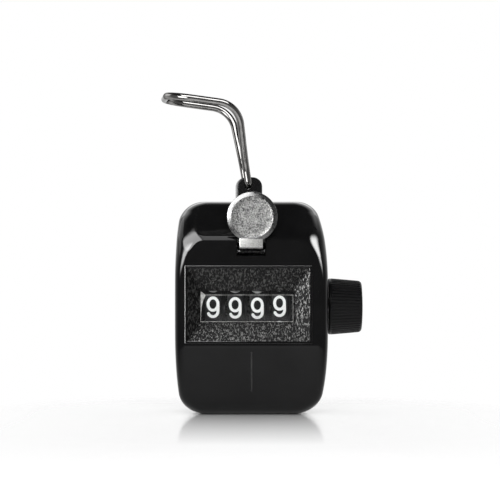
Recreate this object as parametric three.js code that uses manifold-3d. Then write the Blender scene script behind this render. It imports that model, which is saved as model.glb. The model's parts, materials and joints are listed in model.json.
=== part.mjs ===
// Hand tally counter: a four-digit, thumb-operated click counter with a reset knob and a finger ring.
// Millimetres. +X is the knob side, -Y the front with the window, +Z up.
// The origin is the centre of the flat base.
import * as THREE from "three";
import Module from "manifold-3d";
import { mergeVertices } from "three/addons/utils/BufferGeometryUtils.js";
import { ParametricGeometry } from "three/addons/geometries/ParametricGeometry.js";

const wasm = await Module();
wasm.setup();

// ---------------------------------------------------------------- driving dimensions

const CASE = {
  height: 62, halfWidth: 22.15, front: 15.5, back: 14.2, wall: 1.6,
  // The sides draw in from the middle towards each end, the knob's side the more, and end in round corners.
  middle: 31, taperPower: 3.5,
  left: { taperLow: 2.2, taperHigh: 1.8, cornerLow: 6.25, cornerHigh: 6 },
  right: { taperLow: 3.2, taperHigh: 4.1, cornerLow: 6.25, cornerHigh: 4.25 },
  frontEdge: 3.2, shoulderEdge: 6.2, shoulderLow: 40, shoulderHigh: 51.5, // the side edges in front
  backEdge: 4, topFrontRadius: 1.2, baseFrontRadius: 5, backRadius: 6,
  creaseHeight: 51.2, topSlope: 1, creaseBlend: 0.9, // the front leans back above the crease
  chinHeight: 19.8, chinSlope: 0.2126, chinBlend: 0.8, // and a little below the chin line
  seam: 0.05, // half the gap at the parting plane
};
const WINDOW = {
  left: -19.2, right: 17.5, bottom: 20.9, top: 43.4, // outer edge of the bezel's lip
  lipWidth: 0.75, overhang: 0.35, lipHeight: 0.3, insertDepth: 3.2,
  openLeft: -14.8, openRight: 12.1, openBottom: 27, openTop: 36.1, openDepth: 2.5,
  fit: 0.1,
};
const LENS = { front: -13.45, thickness: 0.8, bevel: 0.35 };
const SLOT = { left: -4.1, right: 3.95, bottom: 46.3, top: 51.8 };
const AXLE = { z: 31.15, radius: 2.45, left: -17.5, right: 28.8, grooveWidth: 0.9, grooveDepth: 0.7 };
const WHEEL = {
  count: 4, firstX: -11.15, pitch: 6.413, radius: 12, width: 4.7, bore: 2.52, hub: 4.2,
  recessRadius: 10.4, recessDepth: 2.6, sides: 30,
  teeth: 10, toothTip: 9.6, toothRoot: 8.2, ratchetWidth: 1.2,
};
const KNOB = { left: 22.6, right: 32.7, baseRadius: 8.25, endRadius: 7.6, collar: 0.6, sides: 36 };
const FRAME = { left: -16.6, right: 16, plate: 0.8, front: -13.2, back: 12.6, bottom: 17, top: 49.6 };
const TIE = { radius: 1, y: 8.9, z: 20.6 };
const LEVER = {
  pivotY: -10.5, pivotZ: 47.4, pinRadius: 1, running: 0.06,
  pawlY: 10.4, pawlZ: 47.2,
  armLeft: -15.1, armRight: 12.6, armWidth: 1, armHeight: 4.2, webLow: 50,
  tongueLeft: -3.5, tongueRight: 3.3, tongueLow: 48.1, tongueBend: 0.9, tongueTop: 51.4, sheet: 1.2,
  discX: 0.19, discZ: 57.37, discRadius: 7.24, discBack: -17, discFront: -18.2,
  rimWidth: 1.24, rimDepth: 0.5,
};
const PAWL = { contactRadius: 10.1, contactAngle: 14, fingerWidth: 1, rod: 0.9, tube: 1.7 };
const RATCHET_PHASE = (PAWL.contactAngle * Math.PI) / 180 - 0.06;
const CLIP = { outer: 3.9, thickness: 0.6, grip: 0.55, grooveWidth: 0.7, grooveDepth: 0.6 };
const POST = {
  x: -0.78, yaw: 5, halfWidth: 3.72, halfDepth: 3, bottom: 62.3, top: 69.2, shoulder: 2.8,
  stem: 2.4, stemBottom: 57.4, stemFit: 0.12, hole: 1.2,
  clipBottom: 58.05, washerBottom: 59.3, washerTop: 59.95,
};
const RING = {
  wire: 1.1, pivotX: -0.42, pivotZ: 66.8, lean: 9.4, turn: 73, bendRadius: 7.5,
  straight: 17.8, endWidth: 13, endCorner: 7, postWidth: 4.3, reach: 42.3, widenOver: 24,
  footRadius: 1.4, endGap: 0.6, // the wire's feet bend in through the post and stop short of its middle
};
const SCREW = {
  x: 17, low: 9.5, high: 53, tip: -3.5, shank: 1, head: 2, headSeat: 10.6, headHeight: 1.3,
  frontBoss: 2.1, backBoss: 2.9,
};

// ---------------------------------------------------------------- solids

function solid(geometry) {
  const plain = geometry.index ? geometry.toNonIndexed() : geometry.clone();
  plain.deleteAttribute("normal");
  plain.deleteAttribute("uv");
  const merged = mergeVertices(plain, 1e-4);
  const mesh = new wasm.Mesh({
    numProp: 3,
    vertProperties: merged.attributes.position.array,
    triVerts: new Uint32Array(merged.index.array),
  });
  return new wasm.Manifold(mesh);
}

function geometryOf(manifold) {
  const mesh = manifold.getMesh();
  return new THREE.BufferGeometry()
    .setAttribute("position", new THREE.BufferAttribute(mesh.vertProperties, 3))
    .setIndex(new THREE.BufferAttribute(mesh.triVerts, 1));
}

const union = (...parts) => parts.reduce((whole, part) => whole.add(part));
const without = (whole, ...cuts) => cuts.reduce((rest, cut) => rest.subtract(cut), whole);

function boxGeometry(x0, x1, y0, y1, z0, z1) {
  const box = new THREE.BoxGeometry(x1 - x0, y1 - y0, z1 - z0);
  return box.translate((x0 + x1) / 2, (y0 + y1) / 2, (z0 + z1) / 2);
}
const box = (...limits) => solid(boxGeometry(...limits));

// A turned rod along an axis, from one position to another, centred on (a, b) in the other two axes.
function rodGeometry(axis, from, to, radius, a, b, sides = 20, endRadius = radius) {
  const rod = new THREE.CylinderGeometry(endRadius, radius, to - from, sides);
  const middle = (from + to) / 2;
  if (axis === "x") return rod.rotateZ(-Math.PI / 2).translate(middle, a, b);
  if (axis === "y") return rod.translate(a, middle, b);
  return rod.rotateX(Math.PI / 2).translate(a, b, middle);
}
const rod = (...sizes) => solid(rodGeometry(...sizes));

// An outline in Y and Z, extruded along X from x0 to x1.
const alongX = new THREE.Matrix4().makeBasis(
  new THREE.Vector3(0, 1, 0), new THREE.Vector3(0, 0, 1), new THREE.Vector3(1, 0, 0));
function plateX(shape, x0, x1, curveSegments = 8) {
  const plate = new THREE.ExtrudeGeometry(shape, { depth: x1 - x0, bevelEnabled: false, curveSegments });
  return solid(plate.applyMatrix4(alongX).translate(x0, 0, 0));
}

// An outline in X and Z, extruded along Y from y0 to y1.
const alongY = new THREE.Matrix4().makeBasis(
  new THREE.Vector3(1, 0, 0), new THREE.Vector3(0, 0, 1), new THREE.Vector3(0, -1, 0));
function plateY(shape, y0, y1, curveSegments = 8) {
  const plate = new THREE.ExtrudeGeometry(shape, { depth: y1 - y0, bevelEnabled: false, curveSegments });
  return solid(plate.applyMatrix4(alongY).translate(0, y1, 0));
}

function polygon(...points) {
  return new THREE.Shape(points.map(([a, b]) => new THREE.Vector2(a, b)));
}

// A shape turned about the axle: profile points are [distance along X, radius].
function turnedX(profile, segments = 40) {
  const points = profile.map(([x, radius]) => new THREE.Vector2(radius, x));
  const turned = new THREE.LatheGeometry(points, segments);
  return solid(turned.rotateZ(-Math.PI / 2).translate(0, 0, AXLE.z));
}

function wireGeometry(curve, radius, steps, sides) {
  const section = new THREE.Shape();
  section.absarc(0, 0, radius, 0, 2 * Math.PI);
  const settings = { steps, extrudePath: curve, curveSegments: sides, bevelEnabled: false };
  return new THREE.ExtrudeGeometry(section, settings);
}

// ---------------------------------------------------------------- case

// Distance past a line, eased by a parabola within `blend` of it.
function ramp(distance, blend) {
  if (distance <= -blend) return 0;
  if (distance >= blend) return distance;
  return (distance + blend) ** 2 / (4 * blend);
}

// How far a round edge of the given radius draws in at a height above its flat.
function edgeInset(height, radius) {
  if (height >= radius) return 0;
  return radius - Math.sqrt(radius ** 2 - (radius - Math.max(height, 0)) ** 2);
}

// How far one side of the case stands from the middle plane at height z, `inside` mm under the skin.
function sideReach(side, z, inside) {
  const lower = z < CASE.middle;
  const taper = (lower ? side.taperLow : side.taperHigh) * Math.abs(z / CASE.middle - 1) ** CASE.taperPower;
  const corner = (lower ? side.cornerLow : side.cornerHigh) - inside;
  const toEnd = Math.min(z, CASE.height - z) - inside;
  return CASE.halfWidth - inside - taper - edgeInset(toEnd, corner);
}

// The case's reach to each side, front and back at height z, for a surface `inside` mm under the skin.
function caseSection(z, inside = 0) {
  const above = z - inside;
  const below = CASE.height - inside - z;
  const crease = CASE.creaseHeight - inside * Math.tan(Math.atan(CASE.topSlope) / 2);
  const slopes = CASE.topSlope * ramp(z - crease, CASE.creaseBlend)
    + CASE.chinSlope * ramp(CASE.chinHeight - z, CASE.chinBlend);
  return {
    left: sideReach(CASE.left, z, inside),
    right: sideReach(CASE.right, z, inside),
    front: CASE.front - inside - slopes - edgeInset(above, CASE.baseFrontRadius)
      - edgeInset(below, CASE.topFrontRadius),
    back: CASE.back - inside - edgeInset(Math.min(above, below), CASE.backRadius - inside),
    frontEdge: THREE.MathUtils.lerp(CASE.frontEdge, CASE.shoulderEdge,
      THREE.MathUtils.smoothstep(z, CASE.shoulderLow, CASE.shoulderHigh)),
  };
}

const CORNER_STEPS = 3;
const RING_POINTS = 4 * (CORNER_STEPS + 1);

// Point k of the section's outline: four rounded corners, anticlockwise from the right side.
function sectionPoint(section, inside, k) {
  const corner = Math.floor(k / (CORNER_STEPS + 1));
  const turn = (corner + (k % (CORNER_STEPS + 1)) / CORNER_STEPS) * Math.PI / 2;
  const edge = corner < 2 ? CASE.backEdge : section.frontEdge;
  const depth = corner < 2 ? section.back : section.front;
  const radius = Math.max(0.3, Math.min(edge - inside * 0.8, depth * 0.8));
  const sideX = corner === 0 || corner === 3 ? 1 : -1;
  const sideY = corner < 2 ? 1 : -1;
  const side = sideX > 0 ? section.right : section.left;
  const x = sideX * (side - radius) + radius * Math.cos(turn);
  const y = sideY * (depth - radius) + radius * Math.sin(turn);
  return [x, y];
}

function caseLevels(inside) {
  const bottom = [0, 0.3, 1.2, 3, 5.4].map((rise) => inside + rise);
  const middle = [10.5, 15, 19.4, 20.6, 31, 41, 46, 50.4, 51.2, 52];
  const top = [4.6, 2.4, 0.9, 0.2, 0].map((drop) => CASE.height - inside - drop);
  return [...bottom, ...middle, ...top];
}

function caseSolid(inside) {
  const levels = caseLevels(inside);
  const stacks = levels.length + 1;
  const surface = (u, v, target) => {
    const stack = Math.round(v * stacks);
    const level = levels[THREE.MathUtils.clamp(stack - 1, 0, levels.length - 1)];
    const section = caseSection(level, inside);
    const [x, y] = sectionPoint(section, inside, Math.round(u * RING_POINTS) % RING_POINTS);
    const onAxis = stack === 0 || stack === stacks;
    target.set(onAxis ? 0 : x, onAxis ? 0 : y, level);
  };
  return solid(new ParametricGeometry(surface, RING_POINTS, stacks));
}

const screwPlaces = [
  ["upper_left", -SCREW.x, SCREW.high], ["upper_right", SCREW.x, SCREW.high],
  ["lower_left", -SCREW.x, SCREW.low], ["lower_right", SCREW.x, SCREW.low],
];

function windowOpening(margin, y0, y1) {
  const { left, right, bottom, top } = WINDOW;
  return box(left + margin, right - margin, y0, y1, bottom + margin, top - margin);
}

function caseShell() {
  const shell = caseSolid(0).subtract(caseSolid(CASE.wall));
  const shaftHole = rod("x", 18, 24, 3.1, 0, AXLE.z, 18);
  const postHole = rod("z", 58, 64, POST.stem + POST.stemFit, POST.x, 0, 18);
  return without(shell, shaftHole, postHole);
}

function frontCover(shell) {
  const half = shell.intersect(box(-30, 30, -30, -CASE.seam, -5, 70));
  const opening = windowOpening(WINDOW.overhang - WINDOW.fit, -20, -10);
  const slot = box(SLOT.left, SLOT.right, -20, -10, SLOT.bottom, SLOT.top);
  const bosses = screwPlaces.map(([, x, z]) => rod("y", -13.2, 5.9, SCREW.frontBoss, x, z, 12));
  const pilots = screwPlaces.map(([, x, z]) => rod("y", -4, 7, SCREW.shank + 0.08, x, z, 8));
  const inside = caseSolid(CASE.wall / 2);
  const clippedBosses = bosses.map((boss) => boss.intersect(inside));
  return without(union(half, ...clippedBosses), opening, slot, ...pilots);
}

function backCover(shell) {
  const half = shell.intersect(box(-30, 30, CASE.seam, 30, -5, 70));
  const inside = caseSolid(CASE.wall / 2);
  const tubes = screwPlaces.map(([, x, z]) => rod("y", 6.1, 14, SCREW.backBoss, x, z, 14).intersect(inside));
  const holes = screwPlaces.map(([, x, z]) => rod("y", 5, 15, SCREW.shank + 0.15, x, z, 8));
  const wells = screwPlaces.map(([, x, z]) => rod("y", SCREW.headSeat, 16, SCREW.head + 0.2, x, z, 14));
  return without(union(half, ...tubes), ...holes, ...wells);
}

function caseScrew(x, z) {
  const seat = SCREW.headSeat;
  const shank = rod("y", SCREW.tip, seat + 0.2, SCREW.shank, x, z, 8);
  const head = rod("y", seat, seat + SCREW.headHeight, SCREW.head, x, z, 14, SCREW.head - 0.35);
  const cross = [[1.1, 0.3], [0.3, 1.1]].map(([wide, tall]) =>
    box(x - wide, x + wide, seat + 0.5, seat + 3, z - tall, z + tall));
  return without(union(shank, head), ...cross);
}

// ---------------------------------------------------------------- window

// A rectangular hole whose four faces slope in from the bezel's lip to the sight opening.
function funnel() {
  const frontY = -CASE.front - WINDOW.lipHeight;
  const backY = -CASE.front + WINDOW.openDepth;
  const lip = WINDOW.lipWidth;
  const over = 0.2;
  const corners = (u) => [
    [WINDOW.left + lip, WINDOW.right - lip, WINDOW.bottom + lip, WINDOW.top - lip],
    [WINDOW.openLeft, WINDOW.openRight, WINDOW.openBottom, WINDOW.openTop],
  ][u];
  const outline = ([x0, x1, z0, z1]) => [[x0, z0], [x0, z1], [x1, z1], [x1, z0]];
  const rings = [
    [corners(0), frontY - over], [corners(0), frontY], [corners(1), backY], [corners(1), backY + 3],
  ];
  const surface = (u, v, target) => {
    const stack = Math.round(v * (rings.length + 1));
    const [limits, y] = rings[THREE.MathUtils.clamp(stack - 1, 0, rings.length - 1)];
    const [x, z] = outline(limits)[Math.round(u * 4) % 4];
    const onAxis = stack === 0 || stack === rings.length + 1;
    const middleX = (limits[0] + limits[1]) / 2;
    const middleZ = (limits[2] + limits[3]) / 2;
    target.set(onAxis ? middleX : x, y, onAxis ? middleZ : z);
  };
  return solid(new ParametricGeometry(surface, 4, rings.length + 1));
}

function windowBezel() {
  const lip = windowOpening(0, -CASE.front - WINDOW.lipHeight, -CASE.front - 0.02);
  const plug = windowOpening(WINDOW.overhang, -CASE.front - 0.2, -CASE.front + WINDOW.insertDepth);
  return union(lip, plug).subtract(funnel());
}

function windowLens() {
  const gap = WINDOW.fit;
  const [x0, x1] = [WINDOW.openLeft + gap, WINDOW.openRight - gap];
  const [z0, z1] = [WINDOW.openBottom + gap, WINDOW.openTop - gap];
  const pane = polygon(
    [x0 + LENS.bevel, z0 + LENS.bevel], [x1 - LENS.bevel, z0 + LENS.bevel],
    [x1 - LENS.bevel, z1 - LENS.bevel], [x0 + LENS.bevel, z1 - LENS.bevel]);
  const plate = new THREE.ExtrudeGeometry(pane, {
    depth: LENS.thickness - LENS.bevel, bevelEnabled: true, bevelSegments: 1,
    bevelSize: LENS.bevel, bevelThickness: LENS.bevel,
  });
  plate.applyMatrix4(alongY).translate(0, LENS.front + LENS.thickness, 0);
  return solid(plate).intersect(box(-30, 30, LENS.front - 1, LENS.front + LENS.thickness, 0, 60));
}

// ---------------------------------------------------------------- frame

function chassisFrame() {
  const { left, right, plate, front, back, bottom, top } = FRAME;
  const side = polygon(
    [front + 1.6, bottom], [back - 1.6, bottom], [back - 1.6, 40], [back - 3, 43], [-4, 43],
    [-6, top], [front + 0.6, top], [front + 0.6, 44], [front + 1.6, 42]);
  const plates = [[left, left + plate], [right - plate, right]].map(([x0, x1]) => plateX(side, x0, x1));
  const bridge = box(left, right, front + 1.6, back - 1.6, bottom, bottom + plate);
  const shaftHole = rod("x", left - 1, right + 1, AXLE.radius + 0.07, 0, AXLE.z, 24);
  const pinRadius = LEVER.pinRadius + LEVER.running;
  const pinHole = rod("x", left - 1, right + 1, pinRadius, LEVER.pivotY, LEVER.pivotZ, 16);
  const rodHole = rod("x", left - 1, right + 1, TIE.radius + 0.06, TIE.y, TIE.z, 12);
  return without(union(...plates, bridge), shaftHole, pinHole, rodHole);
}

const tieRod = () => rod("x", FRAME.left - 0.6, FRAME.right + 0.6, TIE.radius, TIE.y, TIE.z, 12);

function leverPivotPin() {
  const { pivotY, pivotZ, pinRadius } = LEVER;
  const left = FRAME.left - 0.5;
  const shank = rod("x", left, FRAME.right + 0.5, pinRadius, pivotY, pivotZ, 16);
  const head = rod("x", left - 0.6, left + 0.2, pinRadius + 0.8, pivotY, pivotZ, 16);
  return union(shank, head);
}

function spacer(x0, x1) {
  const tube = rod("x", x0, x1, 3.6, 0, AXLE.z, 16);
  return tube.subtract(rod("x", x0 - 1, x1 + 1, AXLE.radius + 0.12, 0, AXLE.z, 16));
}

// A flat spring clip with an open side, around a round shaft along X or Z.
function openClip(bore, outer, thickness) {
  const gap = Math.PI / 5;
  const clip = new THREE.Shape();
  clip.absarc(0, 0, outer, gap, 2 * Math.PI - gap, false);
  clip.absarc(0, 0, bore, 2 * Math.PI - gap, gap, true);
  clip.closePath();
  return new THREE.ExtrudeGeometry(clip, { depth: thickness, bevelEnabled: false, curveSegments: 8 });
}

function shaftClip() {
  const clip = openClip(AXLE.radius - CLIP.grip, CLIP.outer, CLIP.thickness).applyMatrix4(alongX);
  return solid(clip.translate(-17.3, 0, AXLE.z));
}

// ---------------------------------------------------------------- counting wheels

const wheelX = (index) => WHEEL.firstX + index * WHEEL.pitch;

// Ten saw teeth, each rising from its root to its tip over one tenth of a turn.
function ratchetShape() {
  const teeth = new THREE.Shape();
  for (let tooth = 0; tooth < WHEEL.teeth; tooth++) {
    const start = (tooth / WHEEL.teeth) * 2 * Math.PI + RATCHET_PHASE;
    const step = (2 * Math.PI) / WHEEL.teeth;
    const { toothRoot, toothTip } = WHEEL;
    const corners = [[toothRoot, 0.06], [toothRoot, 0.3], [toothTip, 0.94], [toothTip, 1]];
    const points = corners.map(([radius, part]) => [
      radius * Math.cos(start + part * step), radius * Math.sin(start + part * step),
    ]);
    points.forEach(([y, z], i) => (tooth + i === 0 ? teeth.moveTo(y, z) : teeth.lineTo(y, z)));
  }
  teeth.closePath();
  return teeth;
}

function numberWheel(index) {
  const x = wheelX(index);
  const left = x - WHEEL.width / 2;
  const right = x + WHEEL.width / 2;
  const rim = turnedX([
    [left, WHEEL.bore], [left, WHEEL.hub], [left + WHEEL.recessDepth, WHEEL.hub],
    [left + WHEEL.recessDepth, WHEEL.recessRadius], [left, WHEEL.recessRadius],
    [left, WHEEL.radius], [right, WHEEL.radius], [right, WHEEL.bore], [left, WHEEL.bore],
  ], WHEEL.sides);
  const teeth = plateX(ratchetShape(), right - 0.4, right + WHEEL.ratchetWidth).translate([0, 0, AXLE.z]);
  const bore = rod("x", right - 1, right + 3, WHEEL.bore, 0, AXLE.z, WHEEL.sides);
  const hubSlot = box(left - 1, left + WHEEL.recessDepth, 0, 6, AXLE.z - 0.7, AXLE.z + 0.7);
  return without(union(rim, teeth), bore, hubSlot);
}

// A leaf spring in the wheel's recess whose nose looks through the hub slot at the shaft.
function resetPawl(index) {
  const x0 = wheelX(index) - WHEEL.width / 2 + 0.5;
  const leaf = new THREE.Shape();
  const bend = Math.PI / 2.2;
  leaf.absarc(0, 0, 8.4, 0.1, bend * 2.2, false);
  leaf.absarc(0, 0, 7.9, bend * 2.2, 0.1, true);
  leaf.lineTo(6.2, 0.25);
  leaf.lineTo(AXLE.radius + 0.12, 0.25);
  leaf.lineTo(AXLE.radius + 0.12, -0.25);
  leaf.lineTo(6.4, -0.25);
  leaf.closePath();
  return plateX(leaf, x0, x0 + 1.4, 6).translate([0, 0, AXLE.z]);
}

// ---------------------------------------------------------------- reset shaft and knob

function resetShaft() {
  const bar = rod("x", AXLE.left, AXLE.right, AXLE.radius, 0, AXLE.z, WHEEL.sides);
  const groove = box(-14.5, 11.8, AXLE.radius - AXLE.grooveDepth, 4,
    AXLE.z - AXLE.grooveWidth / 2, AXLE.z + AXLE.grooveWidth / 2);
  const clipGroove = rod("x", -17.35, -16.65, 5, 0, AXLE.z, 16).subtract(
    rod("x", -18, -16, AXLE.radius - CLIP.grooveDepth, 0, AXLE.z, 16));
  return without(bar, groove, clipGroove);
}

function resetKnob() {
  const { left, right, baseRadius, endRadius, collar } = KNOB;
  const body = turnedX([
    [left, 0], [left, baseRadius - 0.9], [left + collar, baseRadius - 0.9], [left + collar, baseRadius - 0.2],
    [left + collar + 0.4, baseRadius], [right - 1.6, endRadius + 0.05], [right - 0.6, endRadius - 0.5],
    [right, endRadius - 2.6], [right, 0],
  ], KNOB.sides);
  return body.subtract(rod("x", left - 1, AXLE.right + 0.3, AXLE.radius + 0.06, 0, AXLE.z, WHEEL.sides));
}

// ---------------------------------------------------------------- lever, pawl and springs

// A slot shape: a circle's sweep from one centre to another.
function capsule(ay, az, by, bz, radius) {
  const along = Math.atan2(bz - az, by - ay);
  const shape = new THREE.Shape();
  shape.absarc(by, bz, radius, along - Math.PI / 2, along + Math.PI / 2, false);
  shape.absarc(ay, az, radius, along + Math.PI / 2, along + 1.5 * Math.PI, false);
  shape.closePath();
  return shape;
}

function thumbLever() {
  const { pivotY, pivotZ, pawlY, pawlZ, armWidth, armHeight, sheet, webLow } = LEVER;
  const arm = capsule(pivotY, pivotZ, pawlY, pawlZ, armHeight / 2);
  const arms = [LEVER.armLeft, LEVER.armRight].map((x) => plateX(arm, x, x + armWidth, 6));
  const web = box(LEVER.armLeft, LEVER.armRight + armWidth, -12.4, -8.6, webLow, webLow + sheet);
  const ears = [LEVER.armLeft, LEVER.armRight].map((x) =>
    box(x, x + armWidth, -12, -9, pivotZ + 1.2, webLow + sheet / 2));
  // The tongue steps down from the web, leaves by the slot and turns up behind the thumb disc.
  const low = LEVER.tongueLow;
  const bend = LEVER.tongueBend;
  const tongueShape = new THREE.Shape();
  tongueShape.moveTo(-11.4, webLow);
  tongueShape.lineTo(-11.4, webLow + sheet);
  tongueShape.lineTo(-12.7, webLow + sheet);
  tongueShape.lineTo(-14.2, low + sheet);
  tongueShape.lineTo(LEVER.discBack + 0.3, low + sheet);
  tongueShape.absarc(LEVER.discBack + 0.3, low + sheet + 0.3, 0.3, -Math.PI / 2, -Math.PI, true);
  tongueShape.lineTo(LEVER.discBack, LEVER.tongueTop);
  tongueShape.lineTo(LEVER.discFront, LEVER.tongueTop);
  tongueShape.lineTo(LEVER.discFront, low + bend);
  tongueShape.absarc(LEVER.discFront + bend, low + bend, bend, Math.PI, 1.5 * Math.PI, false);
  tongueShape.lineTo(-13.9, low);
  tongueShape.lineTo(-12.2, webLow);
  tongueShape.closePath();
  const tongue = plateX(tongueShape, LEVER.tongueLeft, LEVER.tongueRight, 5);
  const disc = new THREE.LatheGeometry([
    new THREE.Vector2(0, 0), new THREE.Vector2(LEVER.discRadius, 0),
    new THREE.Vector2(LEVER.discRadius, sheet - LEVER.rimDepth),
    new THREE.Vector2(LEVER.discRadius - LEVER.rimWidth, sheet), new THREE.Vector2(0, sheet),
  ], 32);
  disc.rotateX(Math.PI).translate(LEVER.discX, LEVER.discBack, LEVER.discZ);
  const pinHole = rod("x", -20, 20, LEVER.pinRadius + LEVER.running, pivotY, pivotZ, 16);
  const rodHole = rod("x", -20, 20, PAWL.rod + LEVER.running, pawlY, pawlZ, 12);
  return without(union(web, ...arms, ...ears, tongue, solid(disc)), pinHole, rodHole);
}

function pawlRod() {
  const { armLeft, armRight, pawlY, pawlZ } = LEVER;
  const shank = rod("x", armLeft - 0.3, armRight + 1.6, PAWL.rod, pawlY, pawlZ, 12);
  const head = rod("x", armLeft - 0.6, armLeft - 0.1, PAWL.rod + 0.5, pawlY, pawlZ, 12);
  return union(shank, head);
}

// One stamped comb: a tube on the rod with a finger for each ratchet.
function drivePawl() {
  const angle = (PAWL.contactAngle * Math.PI) / 180;
  const tipY = PAWL.contactRadius * Math.cos(angle);
  const tipZ = AXLE.z + PAWL.contactRadius * Math.sin(angle);
  const { pawlY, pawlZ } = LEVER;
  const tube = rod("x", -13.6, 12.2, PAWL.tube, pawlY, pawlZ, 16);
  const finger = polygon(
    [pawlY + 1.5, pawlZ], [pawlY - 0.6, pawlZ - 1], [tipY + 0.9, tipZ + 4.5], [tipY, tipZ],
    [tipY + 1.1, tipZ], [tipY + 2.2, tipZ + 5.4], [pawlY + 1.4, pawlZ - 2]);
  const fingers = [];
  for (let index = 0; index < WHEEL.count; index++) {
    const x = wheelX(index) + WHEEL.width / 2 + WHEEL.ratchetWidth / 2 - PAWL.fingerWidth / 2 + 0.05;
    fingers.push(plateX(finger, x, x + PAWL.fingerWidth));
  }
  const bore = rod("x", -20, 20, PAWL.rod + LEVER.running, pawlY, pawlZ, 12);
  return union(tube, ...fingers).subtract(bore);
}

// A coil along X with a straight leg at each end.
class TorsionCoil extends THREE.Curve {
  constructor(x0, x1, y, z, radius, turns, legAngle, leg) {
    super();
    Object.assign(this, { x0, x1, y, z, radius, turns, legAngle, leg });
    this.coilLength = 2 * Math.PI * radius * turns;
    this.total = this.coilLength + 2 * leg;
  }
  getPoint(t, target = new THREE.Vector3()) {
    const along = t * this.total - this.leg;
    const inCoil = THREE.MathUtils.clamp(along, 0, this.coilLength);
    const angle = this.legAngle + inCoil / this.radius;
    const past = along - inCoil;
    const x = this.x0 + (this.x1 - this.x0) * (inCoil / this.coilLength);
    const y = this.y + this.radius * Math.cos(angle) - past * Math.sin(angle);
    const z = this.z + this.radius * Math.sin(angle) + past * Math.cos(angle);
    return target.set(x, y, z);
  }
}

function leverReturnSpring() {
  const coil = new TorsionCoil(-13.2, -11.2, LEVER.pivotY, LEVER.pivotZ, 1.75, 3.25, 0, 2.6);
  return solid(wireGeometry(coil, 0.25, 36, 3));
}

function pawlSpring() {
  const coil = new TorsionCoil(12.3, 12.5, LEVER.pawlY, LEVER.pawlZ, 1.95, 0.55, 3.6, 1.4);
  return solid(wireGeometry(coil, 0.09, 12, 3));
}

// A comb of leaf springs on the bridge, one leaf rising to each ratchet so that a wheel clicks into place.
function detentSpring() {
  const floor = FRAME.bottom + FRAME.plate;
  const base = box(-12.6, 12, -9.6, -6.4, floor + 0.02, floor + 0.42);
  const tipY = -1.2;
  const leaf = polygon(
    [-9.4, floor + 0.1], [-6.6, floor + 0.1], [tipY - 0.4, 21.0], [tipY + 0.3, 21.25], [tipY + 1, 20.6],
    [tipY + 1.2, 20.85], [tipY + 0.4, 21.46], [tipY - 0.7, 21.2], [-7, floor + 0.42], [-9.4, floor + 0.42]);
  const leaves = [];
  for (let index = 0; index < WHEEL.count; index++) {
    const x = wheelX(index) + WHEEL.width / 2 + WHEEL.ratchetWidth / 2 - 0.45;
    leaves.push(plateX(leaf, x, x + 0.9));
  }
  return union(base, ...leaves);
}

// ---------------------------------------------------------------- ring post and finger ring
// These are drawn about the post's own upright axis and turned by its yaw as one group.

function ringPost() {
  const { halfWidth, halfDepth, bottom, top, shoulder } = POST;
  const outline = new THREE.Shape();
  outline.moveTo(-halfWidth, bottom);
  outline.lineTo(halfWidth, bottom);
  outline.lineTo(halfWidth, top - shoulder);
  outline.absarc(halfWidth - shoulder, top - shoulder, shoulder, 0, Math.PI / 2, false);
  outline.absarc(-halfWidth + shoulder, top - shoulder, shoulder, Math.PI / 2, Math.PI, false);
  outline.closePath();
  const block = plateY(outline, -halfDepth, halfDepth, 5);
  const stem = rod("z", POST.stemBottom, bottom + 0.5, POST.stem, 0, 0, 16);
  const clipGroove = rod("z", POST.clipBottom, POST.clipBottom + CLIP.grooveWidth, 5, 0, 0, 16).subtract(
    rod("z", 57, 60, POST.stem - CLIP.grooveDepth, 0, 0, 16));
  const hole = rod("y", -5, 5, POST.hole, RING.pivotX, RING.pivotZ, 16);
  return without(union(block, stem), clipGroove, hole);
}

function postWasher() {
  const disc = rod("z", POST.washerBottom, POST.washerTop, 3.8, 0, 0, 16);
  return disc.subtract(rod("z", 59, 61, POST.stem + POST.stemFit, 0, 0, 16));
}

function postClip() {
  const clip = openClip(POST.stem - CLIP.grip, CLIP.outer, CLIP.thickness);
  return solid(clip.translate(0, 0, POST.clipBottom + 0.05));
}

// Where the bent loop lies: `along` is measured up the wire from the pivot, `across` from its middle.
function ringPoint(along, across, target) {
  const lean = THREE.MathUtils.degToRad(RING.lean);
  const turn = THREE.MathUtils.degToRad(RING.turn);
  const bendLength = turn * RING.bendRadius;
  const straight = Math.min(along, RING.straight);
  const bent = THREE.MathUtils.clamp(along - RING.straight, 0, bendLength);
  const rest = Math.max(along - RING.straight - bendLength, 0);
  const angle = lean + bent / RING.bendRadius;
  const { bendRadius } = RING;
  const arcX = bendRadius * (Math.cos(angle) - Math.cos(lean));
  const arcZ = bendRadius * (Math.sin(angle) - Math.sin(lean));
  const x = arcX - straight * Math.sin(lean) - rest * Math.sin(angle);
  const z = arcZ + straight * Math.cos(lean) + rest * Math.cos(angle);
  return target.set(RING.pivotX + x, across, RING.pivotZ + z);
}

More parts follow.
